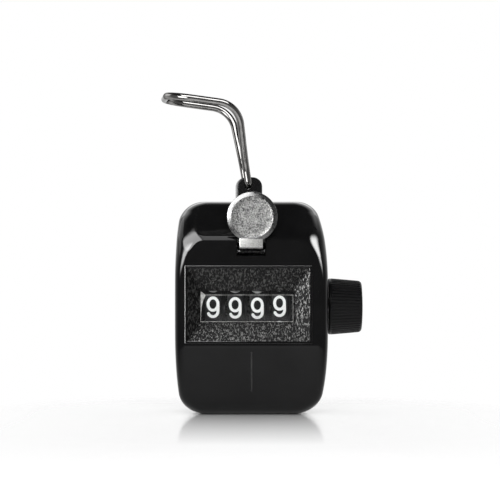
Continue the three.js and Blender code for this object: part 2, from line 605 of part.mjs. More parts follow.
class RingWire extends THREE.Curve {
  constructor() {
    super();
    this.foot = RING.postWidth - RING.footRadius - RING.endGap;
    this.footBend = (RING.footRadius * Math.PI) / 2;
    this.side = RING.reach - RING.endCorner - RING.footRadius;
    this.endBend = (RING.endCorner * Math.PI) / 2;
    this.half = this.foot + this.footBend + this.side + this.endBend + RING.endWidth - RING.endCorner;
  }
  getPoint(t, target = new THREE.Vector3()) {
    const mirror = t < 0.5 ? -1 : 1;
    const length = (t < 0.5 ? t : 1 - t) * 2 * this.half;
    if (length < this.foot) return ringPoint(0, mirror * (RING.endGap + length), target);
    if (length < this.foot + this.footBend) {
      const angle = (length - this.foot) / RING.footRadius;
      const rise = RING.footRadius * (1 - Math.cos(angle));
      return ringPoint(rise, mirror * (RING.endGap + this.foot + RING.footRadius * Math.sin(angle)), target);
    }
    const up = length - this.foot - this.footBend;
    if (up < this.side) {
      const widening = THREE.MathUtils.smoothstep(up, 1, RING.widenOver);
      const across = RING.postWidth + (RING.endWidth - RING.postWidth) * widening;
      return ringPoint(RING.footRadius + up, mirror * across, target);
    }
    const past = up - this.side;
    const angle = Math.min(past, this.endBend) / RING.endCorner;
    const along = RING.footRadius + this.side + RING.endCorner * Math.sin(angle);
    const drawnIn = RING.endCorner * (1 - Math.cos(angle)) + Math.max(past - this.endBend, 0);
    return ringPoint(along, mirror * (RING.endWidth - drawnIn), target);
  }
}

const fingerRing = () => solid(wireGeometry(new RingWire(), RING.wire, 68, 4));

// ---------------------------------------------------------------- assembly

const material = (color, roughness, metalness = 0, extra = {}) =>
  new THREE.MeshStandardMaterial({ color, roughness, metalness, ...extra });
const blackPlastic = material(0x1c1c1d, 0.22);
const texturedPlastic = material(0x2b2b2c, 0.5);
const clearPlastic = material(0xe8eeee, 0.06, 0, { transparent: true, opacity: 0.3 });
const wheelPlastic = material(0x161616, 0.4);
const satinSteel = material(0xa9abad, 0.38, 1);
const springSteel = material(0x8f9396, 0.3, 1);
const chrome = material(0xd9dcdf, 0.1, 1);
const zincPlate = material(0xb4b6b2, 0.42, 1);

const counter = new THREE.Group();
function place(name, shape, finish, parent = counter) {
  const mesh = new THREE.Mesh(geometryOf(shape), finish);
  mesh.name = name;
  parent.add(mesh);
}

const shell = caseShell();
place("front_cover", frontCover(shell), blackPlastic);
place("back_cover", backCover(shell), blackPlastic);
place("window_bezel", windowBezel(), texturedPlastic);
place("window_lens", windowLens(), clearPlastic);
screwPlaces.forEach(([where, x, z]) => place("case_screw_" + where, caseScrew(x, z), zincPlate));

place("chassis_frame", chassisFrame(), zincPlate);
place("tie_rod", tieRod(), zincPlate);
place("lever_pivot_pin", leverPivotPin(), satinSteel);
place("wheel_spacer_left", spacer(-15.65, -13.6), wheelPlastic);
place("wheel_spacer_right", spacer(11.9, 15.1), wheelPlastic);
place("detent_spring", detentSpring(), springSteel);

["thousands", "hundreds", "tens", "units"].forEach((digit, index) => {
  place("number_wheel_" + digit, numberWheel(index), wheelPlastic);
  place("reset_pawl_" + digit, resetPawl(index), springSteel);
});
place("reset_shaft", resetShaft(), satinSteel);
place("reset_knob", resetKnob(), blackPlastic);
place("shaft_clip", shaftClip(), springSteel);

place("thumb_lever", thumbLever(), satinSteel);
place("lever_return_spring", leverReturnSpring(), springSteel);
place("drive_pawl", drivePawl(), zincPlate);
place("pawl_rod", pawlRod(), satinSteel);
place("pawl_spring", pawlSpring(), springSteel);

const swivel = new THREE.Group();
swivel.position.set(POST.x, 0, 0);
swivel.rotation.z = THREE.MathUtils.degToRad(POST.yaw);
counter.add(swivel);
place("ring_post", ringPost(), blackPlastic, swivel);
place("post_washer", postWasher(), springSteel, swivel);
place("post_clip", postClip(), springSteel, swivel);
place("finger_ring", fingerRing(), chrome, swivel);

export default counter;
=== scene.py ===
"""Looks of the hand tally counter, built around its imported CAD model. Metres, +Z up, the window faces -Y."""
import json
import math

import bmesh
import bpy
from mathutils import Matrix, Quaternion, Vector, noise

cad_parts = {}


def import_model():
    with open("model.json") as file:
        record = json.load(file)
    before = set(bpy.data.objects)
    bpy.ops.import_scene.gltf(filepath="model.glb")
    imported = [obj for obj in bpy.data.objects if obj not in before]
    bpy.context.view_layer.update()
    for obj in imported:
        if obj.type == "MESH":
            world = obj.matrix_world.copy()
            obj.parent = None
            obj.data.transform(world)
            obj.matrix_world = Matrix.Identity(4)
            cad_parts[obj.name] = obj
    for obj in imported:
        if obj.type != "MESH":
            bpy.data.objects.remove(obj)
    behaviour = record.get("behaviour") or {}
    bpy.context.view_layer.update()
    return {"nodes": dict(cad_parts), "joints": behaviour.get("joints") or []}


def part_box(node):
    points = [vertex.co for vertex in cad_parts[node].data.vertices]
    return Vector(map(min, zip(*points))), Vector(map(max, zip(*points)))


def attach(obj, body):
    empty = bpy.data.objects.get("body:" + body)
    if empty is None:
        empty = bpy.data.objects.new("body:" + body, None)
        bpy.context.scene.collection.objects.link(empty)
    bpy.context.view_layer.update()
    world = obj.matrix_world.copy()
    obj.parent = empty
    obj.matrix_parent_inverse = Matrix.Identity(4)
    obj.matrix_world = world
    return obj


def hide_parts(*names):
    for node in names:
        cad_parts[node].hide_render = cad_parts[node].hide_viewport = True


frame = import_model()

MM = 0.001
WHITE = (1, 1, 1, 1)
NODES = frame["nodes"]
JOINTS = {joint["name"]: joint for joint in frame["joints"]}
DIGIT_WHEELS = ("thousands", "hundreds", "tens", "units")


# ------------------------------------------------------------------ mesh helpers, in millimetres

def in_mm(corners):
    """The two corners of a box in metres, in millimetres."""
    return [Vector(corner) / MM for corner in corners]


def add_object(name, data):
    """A new object in the scene."""
    obj = bpy.data.objects.new(name, data)
    bpy.context.scene.collection.objects.link(obj)
    return obj


def to_object(name, points, faces, sharp_degrees=32.0):
    """A new smooth-shaded mesh object from points in millimetres, sharp where faces meet steeply."""
    mesh = bpy.data.meshes.new(name)
    mesh.from_pydata([tuple(float(c) * MM for c in point) for point in points], [], faces)
    obj = add_object(name, mesh)
    clean(obj, sharp_degrees)
    return obj


def clean(obj, sharp_degrees=32.0):
    """Merges doubled points, turns faces outwards and sets the smooth shading."""
    work = bmesh.new()
    work.from_mesh(obj.data)
    bmesh.ops.remove_doubles(work, verts=work.verts, dist=0.001 * MM)
    bmesh.ops.dissolve_degenerate(work, edges=work.edges, dist=0.0002 * MM)
    bmesh.ops.recalc_face_normals(work, faces=work.faces)
    work.to_mesh(obj.data)
    work.free()
    shade(obj, sharp_degrees)
    obj.data.update()


def shade(obj, sharp_degrees):
    """Smooth shading, with sharp edges where faces meet more steeply than the angle."""
    obj.data.polygons.foreach_set("use_smooth", [True] * len(obj.data.polygons))
    obj.data.set_sharp_from_angle(angle=math.radians(sharp_degrees))


def loft(rings, joined=False):
    """Points and faces of a skin through equal rings, capped, or with its last ring joined to its first."""
    count = len(rings[0])
    points = [point for ring in rings for point in ring]
    faces = []
    for i in range(len(rings) if joined else len(rings) - 1):
        below = i * count
        above = ((i + 1) % len(rings)) * count
        for j in range(count):
            k = (j + 1) % count
            faces.append((below + j, below + k, above + k, above + j))
    if not joined:
        faces.append(tuple(reversed(range(count))))
        faces.append(tuple(range((len(rings) - 1) * count, len(rings) * count)))
    return points, faces


def eased(value, low, high):
    """How far a value has gone from low to high, 0 to 1, with a soft start and end."""
    share = min(1.0, max(0.0, (value - low) / (high - low)))
    return share * share * (3 - 2 * share)


def arc(centre, radii, start, end, steps):
    """Points on an ellipse from one angle in degrees to another, both ends included."""
    angles = [math.radians(start + (end - start) * k / steps) for k in range(steps + 1)]
    return [(centre[0] + radii[0] * math.cos(t), centre[1] + radii[1] * math.sin(t)) for t in angles]


def circle(centre, radius, count):
    """Evenly spaced points round a circle."""
    return arc(centre, (radius, radius), 0, 360, count)[:-1]


def stand(outline, axis, along):
    """Puts a flat outline across an axis, at a distance along it."""
    if axis == "x":
        return [(along, u, v) for u, v in outline]
    if axis == "y":
        return [(u, along, v) for u, v in outline]
    return [(u, v, along) for u, v in outline]


def lathe(axis, profile, centre, segments, closed=False):
    """A skin turned about an axis, from (distance along it, radius) points."""
    rings = [stand(circle(centre, radius, segments), axis, along) for along, radius in profile]
    return loft(rings, joined=closed)


def cylinder(name, axis, start, end, radius, centre, segments=48, end_radius=None):
    """A plain closed rod, used only as a cutter or joined into a larger piece."""
    last = radius if end_radius is None else end_radius
    return to_object(name, *lathe(axis, [(start, radius), (end, last)], centre, segments))


def block(name, x0, x1, y0, y1, z0, z1):
    """A box, used only as a cutter or joined into a larger piece."""
    ring = [(x0, y0), (x1, y0), (x1, y1), (x0, y1)]
    return to_object(name, *loft([stand(ring, "z", z) for z in (z0, z1)]))


def boolean(obj, others, operation="DIFFERENCE"):
    """Cuts or joins other objects into obj, and removes them."""
    for other in others:
        modifier = obj.modifiers.new("cut", "BOOLEAN")
        modifier.operation = operation
        modifier.solver = "EXACT"
        modifier.object = other
        apply_modifiers(obj)
        bpy.data.objects.remove(other)


def apply_modifiers(obj):
    """Bakes every modifier into the mesh."""
    bpy.context.view_layer.update()
    evaluated = obj.evaluated_get(bpy.context.evaluated_depsgraph_get())
    mesh = bpy.data.meshes.new_from_object(evaluated)
    old = obj.data
    obj.modifiers.clear()
    obj.data = mesh
    bpy.data.meshes.remove(old)


def bevel(obj, width, degrees, segments):
    """Rounds every edge steeper than the angle."""
    modifier = obj.modifiers.new("round", "BEVEL")
    modifier.width = width * MM
    modifier.segments = segments
    modifier.limit_method = "ANGLE"
    modifier.angle_limit = math.radians(degrees)
    modifier.use_clamp_overlap = True
    apply_modifiers(obj)


def even_normals(obj):
    """Lets large flat faces set the shading, so rounded edges stay crisp."""
    modifier = obj.modifiers.new("normals", "WEIGHTED_NORMAL")
    modifier.keep_sharp = True
    modifier.weight = 80
    apply_modifiers(obj)


def join(objects, name):
    """One object of several, its loose parts kept as they are."""
    work = bmesh.new()
    for obj in objects:
        work.from_mesh(obj.data)
    mesh = bpy.data.meshes.new(name)
    work.to_mesh(mesh)
    work.free()
    for obj in objects:
        bpy.data.objects.remove(obj)
    return add_object(name, mesh)


def finish_piece(obj, material, body, slot, *replaced):
    """Gives a piece its material and body, and hides the CAD nodes it stands for. The slot is not used."""
    obj.data.materials.clear()
    for entry in material if isinstance(material, (list, tuple)) else [material]:
        obj.data.materials.append(entry)
    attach(obj, body)
    if replaced:
        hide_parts(*replaced)
    return obj


# ------------------------------------------------------------------ materials

class Nodes:
    """A short way to write a node tree."""

    def __init__(self, tree):
        self.tree = tree

    def add(self, kind, inputs=None, **settings):
        """A node with its settings, and its inputs linked or set."""
        node = self.tree.nodes.new(kind)
        for key, value in settings.items():
            setattr(node, key, value)
        for key, value in (inputs or {}).items():
            self.set(node.inputs[key], value)
        return node

    def set(self, socket, value):
        """Links a socket to another one, or gives it a value."""
        if isinstance(value, bpy.types.NodeSocket):
            self.tree.links.new(value, socket)
        else:
            socket.default_value = value

    def math(self, operation, a, b=0.0):
        """A sum, product or other operation on two values, or on one."""
        return self.add("ShaderNodeMath", {0: a, 1: b}, operation=operation).outputs[0]

    def blend(self, a, b, share):
        """Two values mixed, with this share of the first."""
        return self.math("ADD", self.math("MULTIPLY", a, share), self.math("MULTIPLY", b, 1 - share))

    def range(self, value, low, high, new_low, new_high, **settings):
        """A value moved from one range to another, and kept inside it."""
        inputs = {"Value": value, "From Min": low, "From Max": high, "To Min": new_low, "To Max": new_high}
        return self.add("ShaderNodeMapRange", inputs, **settings).outputs["Result"]

    def mix(self, share, first, second):
        """A shader mixed of two others."""
        return self.add("ShaderNodeMixShader", {0: share, 1: first.outputs[0], 2: second.outputs[0]})


class Surface(Nodes):
    """The node tree of a new material."""

    def __init__(self, name):
        self.material = bpy.data.materials.new(name)
        self.material.use_nodes = True
        super().__init__(self.material.node_tree)
        self.tree.nodes.clear()
        self.output = self.add("ShaderNodeOutputMaterial")
        self.coordinates = self.add("ShaderNodeTexCoord").outputs["Object"]

    def stretch(self, scale, rotation=(0, 0, 0)):
        """Object coordinates, scaled and turned."""
        inputs = {"Vector": self.coordinates, "Scale": scale, "Rotation": rotation}
        return self.add("ShaderNodeMapping", inputs).outputs["Vector"]

    def noise(self, size_mm, detail=3.0, roughness=0.55, vector=None, distortion=0.0):
        """Cloudy noise with features of about the size given."""
        inputs = {"Vector": vector or self.coordinates, "Scale": 1 / (size_mm * MM), "Detail": detail,
                  "Roughness": roughness, "Distortion": distortion}
        return self.add("ShaderNodeTexNoise", inputs).outputs["Fac"]

    def cells(self, size_mm):
        """Rounded cells of about the size given."""
        inputs = {"Vector": self.coordinates, "Scale": 1 / (size_mm * MM)}
        return self.add("ShaderNodeTexVoronoi", inputs).outputs["Distance"]

    def ramp(self, value, dark, light, low=0.0, high=1.0):
        """A colour between two, by where the value lies from low to high."""
        node = self.add("ShaderNodeValToRGB", {"Fac": value})
        first, last = node.color_ramp.elements
        first.position, last.position = low, high
        first.color, last.color = (*dark, 1), (*light, 1)
        return node.outputs["Color"]

    def bump(self, height, depth_mm, strength=1.0, normal=None):
        """A normal roughened by a height of the depth given."""
        inputs = {"Height": height, "Distance": depth_mm * MM, "Strength": strength}
        if normal is not None:
            inputs["Normal"] = normal
        return self.add("ShaderNodeBump", inputs).outputs["Normal"]

    def show(self, shader):
        """Makes a shader the material's surface, and returns the material."""
        self.set(self.output.inputs["Surface"], shader.outputs[0])
        return self.material

    def principled(self, **inputs):
        """A material of one principled shader. Underscores in the names stand for spaces."""
        named = {key.replace("_", " "): value for key, value in inputs.items()}
        return self.show(self.add("ShaderNodeBsdfPrincipled", named))


def gloss_black_abs(name, roughness=(0.035, 0.075), grain=0.0012, tone=1.0):
    """Glossy moulded black plastic: faint flow mottling, a soft orange peel and fine handling haze."""
    n = Surface(name)
    dark = tuple(c * tone for c in (0.0036, 0.0036, 0.0038))
    light = tuple(c * tone for c in (0.0058, 0.0058, 0.0060))
    flow = n.noise(9.0, detail=4.0)
    haze = n.blend(n.noise(3.5, detail=6.0), n.noise(0.5), 0.7)
    peel = n.bump(n.noise(1.4, detail=2.0), grain, 0.6)
    scratches = n.noise(0.35, detail=3.0, vector=n.stretch((1, 1, 0.06), (0.3, 0.5, 0.2)))
    fine = n.bump(n.range(scratches, 0.66, 0.75, 0, 1), 0.0006, 0.35, peel)
    return n.principled(
        Base_Color=n.ramp(flow, dark, light, 0.3, 0.7), Roughness=n.range(haze, 0.3, 0.7, *roughness),
        Normal=fine, IOR=1.5, Specular_IOR_Level=0.23)


def textured_abs():
    """Black plastic with a moulded leathery grain: dull valleys between smooth ridges, with painted shade in
    the valleys and a painted highlight on the ridges.
    """
    n = Surface("textured_abs")
    slanted = n.stretch((1.0, 1.0, 0.42), (0, 0.62, 0))
    grain = n.noise(0.42, detail=2.0, roughness=0.6, vector=slanted, distortion=0.4)
    tops = n.range(grain, 0.49, 0.6, 0, 1)
    return n.principled(
        # painted shade: near black in the valleys; painted highlight: lighter grey on the ridge tops
        Base_Color=n.ramp(tops, (0.0006, 0.0006, 0.0007), (0.072, 0.072, 0.07), 0.1, 1.0),
        Roughness=n.range(tops, 0, 1, 0.95, 0.3), Normal=n.bump(tops, 0.12),
        IOR=1.5, Specular_IOR_Level=0.1)


def painted_highlight_abs():
    """The same plastic, duller and in a lighter grey: a painted highlight along a narrow edge or ridge."""
    n = Surface("painted_highlight_abs")
    highlight_tone = n.noise(0.7, detail=5.0)
    return n.principled(
        # painted highlight: a lighter grey than the case
        Base_Color=n.ramp(highlight_tone, (0.002, 0.002, 0.002), (0.014, 0.014, 0.0136), 0.35, 0.65),
        Roughness=n.range(highlight_tone, 0.3, 0.7, 0.3, 0.5), Normal=n.bump(highlight_tone, 0.01, 0.6), IOR=1.5)


def knob_plastic():
    """Black plastic with a dull mould finish."""
    n = Surface("knob_plastic")
    mottle = n.noise(0.6, detail=5.0)
    return n.principled(
        Base_Color=n.ramp(mottle, (0.0012, 0.0012, 0.0014), (0.003, 0.003, 0.0033), 0.3, 0.7),
        Roughness=n.range(mottle, 0.3, 0.7, 0.3, 0.42),
        Normal=n.bump(n.noise(0.12, detail=2.0), 0.006, 0.6), IOR=1.5, Specular_IOR_Level=0.22)


def wheel_plastic():
    """Satin black number wheel, with turning marks round its rim."""
    n = Surface("wheel_plastic")
    rings = n.noise(0.22, detail=2.0, vector=n.stretch((1.0, 0.02, 0.02)))
    dust = n.noise(0.35, detail=5.0)
    return n.principled(
        Base_Color=n.ramp(dust, (0.0012, 0.0012, 0.0015), (0.003, 0.003, 0.0036), 0.35, 0.75),
        Roughness=n.range(dust, 0.3, 0.7, 0.3, 0.42), Normal=n.bump(rings, 0.004, 0.5),
        IOR=1.5, Specular_IOR_Level=0.3)


def white_print():
    """Hot-stamped white figures, a little uneven."""
    n = Surface("white_print")
    uneven = n.noise(0.3, detail=4.0)
    return n.principled(
        Base_Color=n.ramp(uneven, (0.86, 0.86, 0.85), (0.95, 0.95, 0.94), 0.3, 0.7),
        Roughness=n.range(uneven, 0.3, 0.7, 0.42, 0.55), Normal=n.bump(uneven, 0.004, 0.4))


def steel(name, dark, light, roughness, mottle_mm, grain=0.004, brushed=None):
    """Metal with cloudy plating, a fine grain and, where `brushed` is given, drawing lines."""
    n = Surface(name)
    cloud = n.noise(mottle_mm, detail=5.0, roughness=0.65)
    lines = n.noise(0.08, detail=2.0, vector=n.stretch(brushed)) if brushed else n.noise(0.09, detail=2.0)
    mix = n.blend(cloud, lines, 0.6)
    return n.principled(
        Base_Color=n.ramp(mix, dark, light, 0.36, 0.64), Metallic=1.0,
        Roughness=n.range(mix, 0.36, 0.64, *roughness), Normal=n.bump(lines, grain, 0.7))


def pad_steel():
    """The thumb pad: nickel plate over an etched, crystalline grain."""
    n = Surface("pad_steel")
    grit = n.noise(0.42, detail=3.0, roughness=0.75)
    mix = n.blend(grit, n.noise(1.6, detail=3.0), 0.78)
    return n.principled(
        Base_Color=n.ramp(mix, (0.04, 0.04, 0.043), (0.62, 0.62, 0.605), 0.39, 0.61), Metallic=1.0,
        Roughness=n.range(mix, 0.4, 0.6, 0.5, 0.36), Normal=n.bump(grit, 0.16, 0.8))


def chrome():
    """Bright plated wire with faint wiping marks."""
    n = Surface("chrome")
    cloud = n.noise(2.2, detail=5.0)
    return n.principled(
        Base_Color=n.ramp(cloud, (0.27, 0.265, 0.26), (0.42, 0.415, 0.405), 0.3, 0.7), Metallic=1.0,
        Roughness=n.range(cloud, 0.3, 0.7, 0.05, 0.13), Normal=n.bump(n.cells(0.6), 0.0015, 0.5),
        Specular_Tint=(0.22, 0.22, 0.22, 1))


def clear_lens():
    """Clear acrylic: see-through, with a skin reflection that grows towards grazing angles."""
    n = Surface("clear_lens")
    smear = n.range(n.noise(3.0, detail=4.0), 0.3, 0.7, 0.02, 0.07)
    clear = n.add("ShaderNodeBsdfTransparent", {"Color": (0.99, 0.995, 0.995, 1)})
    shine = n.add("ShaderNodeBsdfGlossy", {"Color": WHITE, "Roughness": smear})
    skin = n.add("ShaderNodeFresnel", {"IOR": 1.45})
    return n.show(n.mix(skin.outputs[0], clear, shine))


def lens_edge():
    """The lens's cut edges, which scatter light."""
    n = Surface("lens_edge")
    tone = n.ramp(n.noise(0.8, detail=4.0), (0.3, 0.3, 0.29), (0.75, 0.75, 0.73), 0.35, 0.65)
    clear = n.add("ShaderNodeBsdfTransparent", {"Color": (0.95, 0.95, 0.95, 1)})
    frost = n.add("ShaderNodeBsdfPrincipled", {"Base Color": tone, "Roughness": 0.35})
    return n.show(n.mix(0.7, clear, frost))


MATERIALS = {
    "case": gloss_black_abs("gloss_black_abs"),
    "post": gloss_black_abs("post_black_abs", roughness=(0.2, 0.3), grain=0.003, tone=1.2),
    "bezel": textured_abs(),
    "painted_highlight": painted_highlight_abs(),
    "knob": knob_plastic(),
    "wheel": wheel_plastic(),
    "digit": white_print(),
    "pad": pad_steel(),
    # a lighter copy of the lever's steel: a painted highlight on the front of the neck
    "neck": steel("neck_highlight_steel", (0.42, 0.42, 0.41), (0.85, 0.85, 0.83), (0.5, 0.38), 0.3, 0.02),
    "lever": steel("lever_steel", (0.13, 0.13, 0.133), (0.3, 0.3, 0.295), (0.2, 0.36), 0.9),
    "spring": steel("spring_steel", (0.26, 0.27, 0.28), (0.4, 0.41, 0.42), (0.22, 0.34), 1.2, 0.002),
    "zinc": steel("zinc_steel", (0.34, 0.34, 0.31), (0.6, 0.6, 0.56), (0.34, 0.5), 1.6, 0.003),
    "shaft": steel(
        "shaft_steel", (0.34, 0.34, 0.345), (0.55, 0.55, 0.55), (0.22, 0.32), 1.4, 0.003, (1, 0.05, 0.05)),
    "chrome": chrome(),
    "lens": clear_lens(),
    "lens_edge": lens_edge(),
}


# ------------------------------------------------------------------ case

FRONT_LOW, FRONT_HIGH = in_mm(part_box("front_cover"))
BACK_HIGH = in_mm(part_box("back_cover"))[1]
HEIGHT = FRONT_HIGH.z
HALF_WIDTH = FRONT_HIGH.x
FRONT, BACK = -FRONT_LOW.y, BACK_HIGH.y
WALL = 1.6
SEAM = 0.05
FRONT_EDGE, BACK_EDGE = 3.2, 4.0
SHOULDER_EDGE = 6.2  # the front edge's radius at the shoulders
SHOULDER_LOW, SHOULDER_HIGH = 40.0, 51.5  # it grows rounder between these heights
TOP_FRONT, BASE_FRONT, BACK_ROUND = 1.8, 5.0, 6.0
MIDDLE, TAPER_POWER = 31.0, 3.5  # the sides draw in from the middle towards each end
LEFT_SIDE = {"taper_low": 2.2, "taper_high": 1.8, "corner_low": 6.25, "corner_high": 6.0}
RIGHT_SIDE = {"taper_low": 3.2, "taper_high": 4.1, "corner_low": 6.25, "corner_high": 4.25}
CREASE, TOP_SLOPE, CREASE_BLEND = 51.2, 1.0, 0.9
SHOULDER_BLEND = 6.0  # the crease is this much softer at the sides
SHOULDER_FROM, SHOULDER_TO = 13.8, 19.8  # it softens between these distances from the middle
CHIN, CHIN_SLOPE, CHIN_BLEND = 19.8, 0.2126, 0.8
AXLE_Z = JOINTS["reset_turn"]["pos_m"][2] / MM
POST_X = JOINTS["ring_swivel"]["pos_m"][0] / MM
SLOT = (-4.1, 3.95, 46.3, 51.8)
SCREW_SEAT, HEAD_ROOM, SHANK_ROOM, PILOT_ROOM = 10.6, 2.2, 1.15, 1.08  # the last three are radii
SCREW_PLACES = {
    f"{level}_{side}": (x, z)
    for side, x in (("left", -17.0), ("right", 17.0))
    for level, z in (("lower", 9.5), ("upper", 53.0))}


def ramp_past(distance, blend):
    """Distance past a line, eased by a parabola near it."""
    if distance <= -blend:
        return 0.0
    if distance >= blend:
        return distance
    return (distance + blend) ** 2 / (4 * blend)


def edge_inset(height, radius):
    """How far a round edge draws in at a height above its flat."""
    if height >= radius:
        return 0.0
    return radius - math.sqrt(radius ** 2 - (radius - max(height, 0.0)) ** 2)


def side_reach(side, z, inside):
    """How far one side of the case stands from the middle plane at height z, `inside` mm under its skin."""
    end = "_low" if z < MIDDLE else "_high"
    taper = side["taper" + end] * abs(z / MIDDLE - 1) ** TAPER_POWER
    corner = edge_inset(min(z, HEIGHT - z) - inside, side["corner" + end] - inside)
    return HALF_WIDTH - inside - taper - corner


def case_section(z, inside):
    """Reach to the left, right, front and back of the case at height z, `inside` mm under its skin."""
    above, below = z - inside, HEIGHT - inside - z
    crease = CREASE - inside * math.tan(math.atan(TOP_SLOPE) / 2)
    slopes = TOP_SLOPE * ramp_past(z - crease, CREASE_BLEND) + CHIN_SLOPE * ramp_past(CHIN - z, CHIN_BLEND)
    front = FRONT - inside - slopes - edge_inset(above, BASE_FRONT) - edge_inset(below, TOP_FRONT)
    back = BACK - inside - edge_inset(min(above, below), BACK_ROUND - inside)
    return side_reach(LEFT_SIDE, z, inside), side_reach(RIGHT_SIDE, z, inside), front, back


def front_edge(z):
    """Radius of the front's side edges, rounder at the shoulders."""
    return FRONT_EDGE + (SHOULDER_EDGE - FRONT_EDGE) * eased(z, SHOULDER_LOW, SHOULDER_HIGH)


def shoulder_drop(x, z):
    """How much more the softened crease draws in near the sides than in the middle."""
    blend = CREASE_BLEND + (SHOULDER_BLEND - CREASE_BLEND) * eased(abs(x), SHOULDER_FROM, SHOULDER_TO)
    return TOP_SLOPE * (ramp_past(z - CREASE, blend) - ramp_past(z - CREASE, CREASE_BLEND))


def half_outline(z, inside, side):
    """Half of a section, from the seam on the right round to the seam on the left.

    side is -1 in front and 1 behind."""
    left_reach, right_reach, front, back = case_section(z, inside)
    depth = front if side < 0 else back
    edge = front_edge(z) if side < 0 else BACK_EDGE
    radius = max(0.3, min(edge - inside * 0.8, depth * 0.8))
    arc_steps, side_steps, face_steps = 16, 3, 44
    rim = [(0.0, SEAM + (depth - radius - SEAM) * k / side_steps) for k in range(side_steps)]
    rim += arc((radius, depth - radius), (-radius, radius), 0, 90, arc_steps)
    right = [(right_reach - inset, y) for inset, y in rim]
    left = [(inset - left_reach, y) for inset, y in reversed(rim)]
    width = left[0][0] - right[-1][0]
    face = [(right[-1][0] + width * k / face_steps, depth) for k in range(1, face_steps)]
    outline = right + face + left
    if side < 0:
        outline = [(x, y - shoulder_drop(x, z) * (y / depth) ** 2) for x, y in outline]
    return [(x, side * y, z) for x, y in outline]


def case_levels(inside):
    """Heights of the sections: close together where the case curves."""
    curve = [1 - math.cos(math.pi / 2 * k / 16) for k in range(17)]
    bottom = [inside + rise * (LEFT_SIDE["corner_low"] - inside) for rise in curve]
    top = [HEIGHT - inside - rise * (LEFT_SIDE["corner_high"] - inside) for rise in reversed(curve)]
    blends = [CHIN + CHIN_BLEND * k / 3 for k in range(-3, 4)] + [CREASE + 0.3 * k for k in range(-18, 8)]
    plain = [7.5, 9.0, 10.5, 12.0, 13.7, 15.5, 17.5, 22.5, 26.0, 31.0, 36.0, 39.0]
    plain += [41.0, 43.0, 44.5, 54.2, 55.2]
    return bottom + sorted(blends + plain) + top


def half_shell(name, side):
    """One cover: outer skin, inner skin and the rim between them at the seam."""
    skins = [[half_outline(z, inside, side) for z in case_levels(inside)] for inside in (0.0, WALL)]
    rows, count = len(skins[0]), len(skins[0][0])
    points = [point for skin in skins for ring in skin for point in ring]
    inner = rows * count
    faces = []
    for start in (0, inner):
        for i in range(rows - 1):
            for j in range(count - 1):
                a = start + i * count + j
                faces.append((a, a + 1, a + count + 1, a + count))
        faces.append(tuple(range(start, start + count)))
        faces.append(tuple(range(start + (rows - 1) * count, start + rows * count)))
    for i in range(rows - 1):
        for j in (0, count - 1):
            a = i * count + j
            faces.append((a, a + count, inner + a + count, inner + a))
    for i in (0, rows - 1):
        a, b = i * count, i * count + count - 1
        faces.append((a, b, inner + b, inner + a))
    return to_object(name, points, faces)


def soften_rim(obj, side):
    """Rounds the cover's outer edge along the seam."""
    width, reached = 0.16, 0.005
    work = bmesh.new()
    work.from_mesh(obj.data)
    work.normal_update()
    rim = []
    for edge in work.edges:
        at_seam = all(abs(v.co.y / MM - side * SEAM) < reached for v in edge.verts)
        if not at_seam or len(edge.link_faces) != 2:
            continue
        steep = edge.calc_face_angle(0) > math.radians(60)
        middle = (edge.verts[0].co + edge.verts[1].co) / 2 / MM
        reach = case_section(min(max(middle.z, 0.01), HEIGHT - 0.01), 0.0)
        limit = reach[0 if middle.x < 0 else 1] - WALL / 2
        at_skin = abs(middle.x) > limit or middle.z < WALL / 2 or middle.z > HEIGHT - WALL / 2
        if steep and at_skin:
            rim.append(edge)
    bmesh.ops.bevel(work, geom=rim, offset=width * MM, segments=3, affect="EDGES", profile=0.5)
    work.to_mesh(obj.data)
    work.free()


def axle_notch():
    """Cuts the hole for the knob's axle, half in each cover."""
    start, end, radius = 18, 24, 3.1
    return cylinder("axle_notch", "x", start, end, radius, (0, AXLE_Z), 64)


def post_notch():
    """Cuts the hole for the ring post's stem, half in each cover."""
    start, end, radius = 58, 64, 2.52
    return cylinder("post_notch", "z", start, end, radius, (POST_X, 0), 64)


def slot_cutter():
    """The lever's slot, with a small chamfer at the skin."""
    chamfer, over = 0.3, 0.6
    rings = []
    for y, out in ((-FRONT + 5, 0), (-FRONT + chamfer, 0), (-FRONT - over, chamfer + over)):
        rings.append(rectangle(grown(SLOT, out), y, (1, 1)))
    return to_object("slot_cutter", *loft(rings))


def front_cover():
    """The front half of the case, with its screw bosses, the window's opening and the lever's slot."""
    cover = half_shell("front_cover_skin", -1)
    soften_rim(cover, -1)
    high_root, low_root, tip, radius = -11, -12, 5.9, 2.1
    bosses = [cylinder("boss", "y", high_root if z > MIDDLE else low_root, tip, radius, (x, z), 32)
              for x, z in SCREW_PLACES.values()]
    boolean(cover, bosses, "UNION")
    low, high = in_mm(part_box("window_bezel"))
    margin = 0.25
    window = block("window", low.x + margin, high.x - margin, -20, -10, low.z + margin, high.z - margin)
    bottom, mouth = -4, 7
    pilots = [cylinder("pilot", "y", bottom, mouth, PILOT_ROOM, place, 24) for place in SCREW_PLACES.values()]
    boolean(cover, [window, slot_cutter(), axle_notch(), post_notch(), *pilots])
    clean(cover)
    even_normals(cover)
    return finish_piece(cover, MATERIALS["case"], "case", "black_gloss_abs", "front_cover")


def weld_line():
    """The faint raised line that moulding left down the middle of the chin."""
    rings = []
    steps, low, high, half = 40, 7.0, CHIN - 1.2, 0.3
    start, growth, grown_over = 0.01, 0.1, 8.0
    for k in range(steps + 1):
        z = low + (high - low) * k / steps
        depth = case_section(z, 0.0)[2]
        rise = start + growth * min(1.0, (z - low) / grown_over)
        rings.append([(-half, -depth + 0.05, z), (half, -depth + 0.05, z), (half * 0.7, -depth - rise, z),
                      (-half * 0.1, -depth - rise, z)])
    line = to_object("chin_weld_line", *loft(rings), sharp_degrees=80)
    # its lighter grey material is a painted highlight along the line
    return finish_piece(line, MATERIALS["painted_highlight"], "case", "black_gloss_abs")


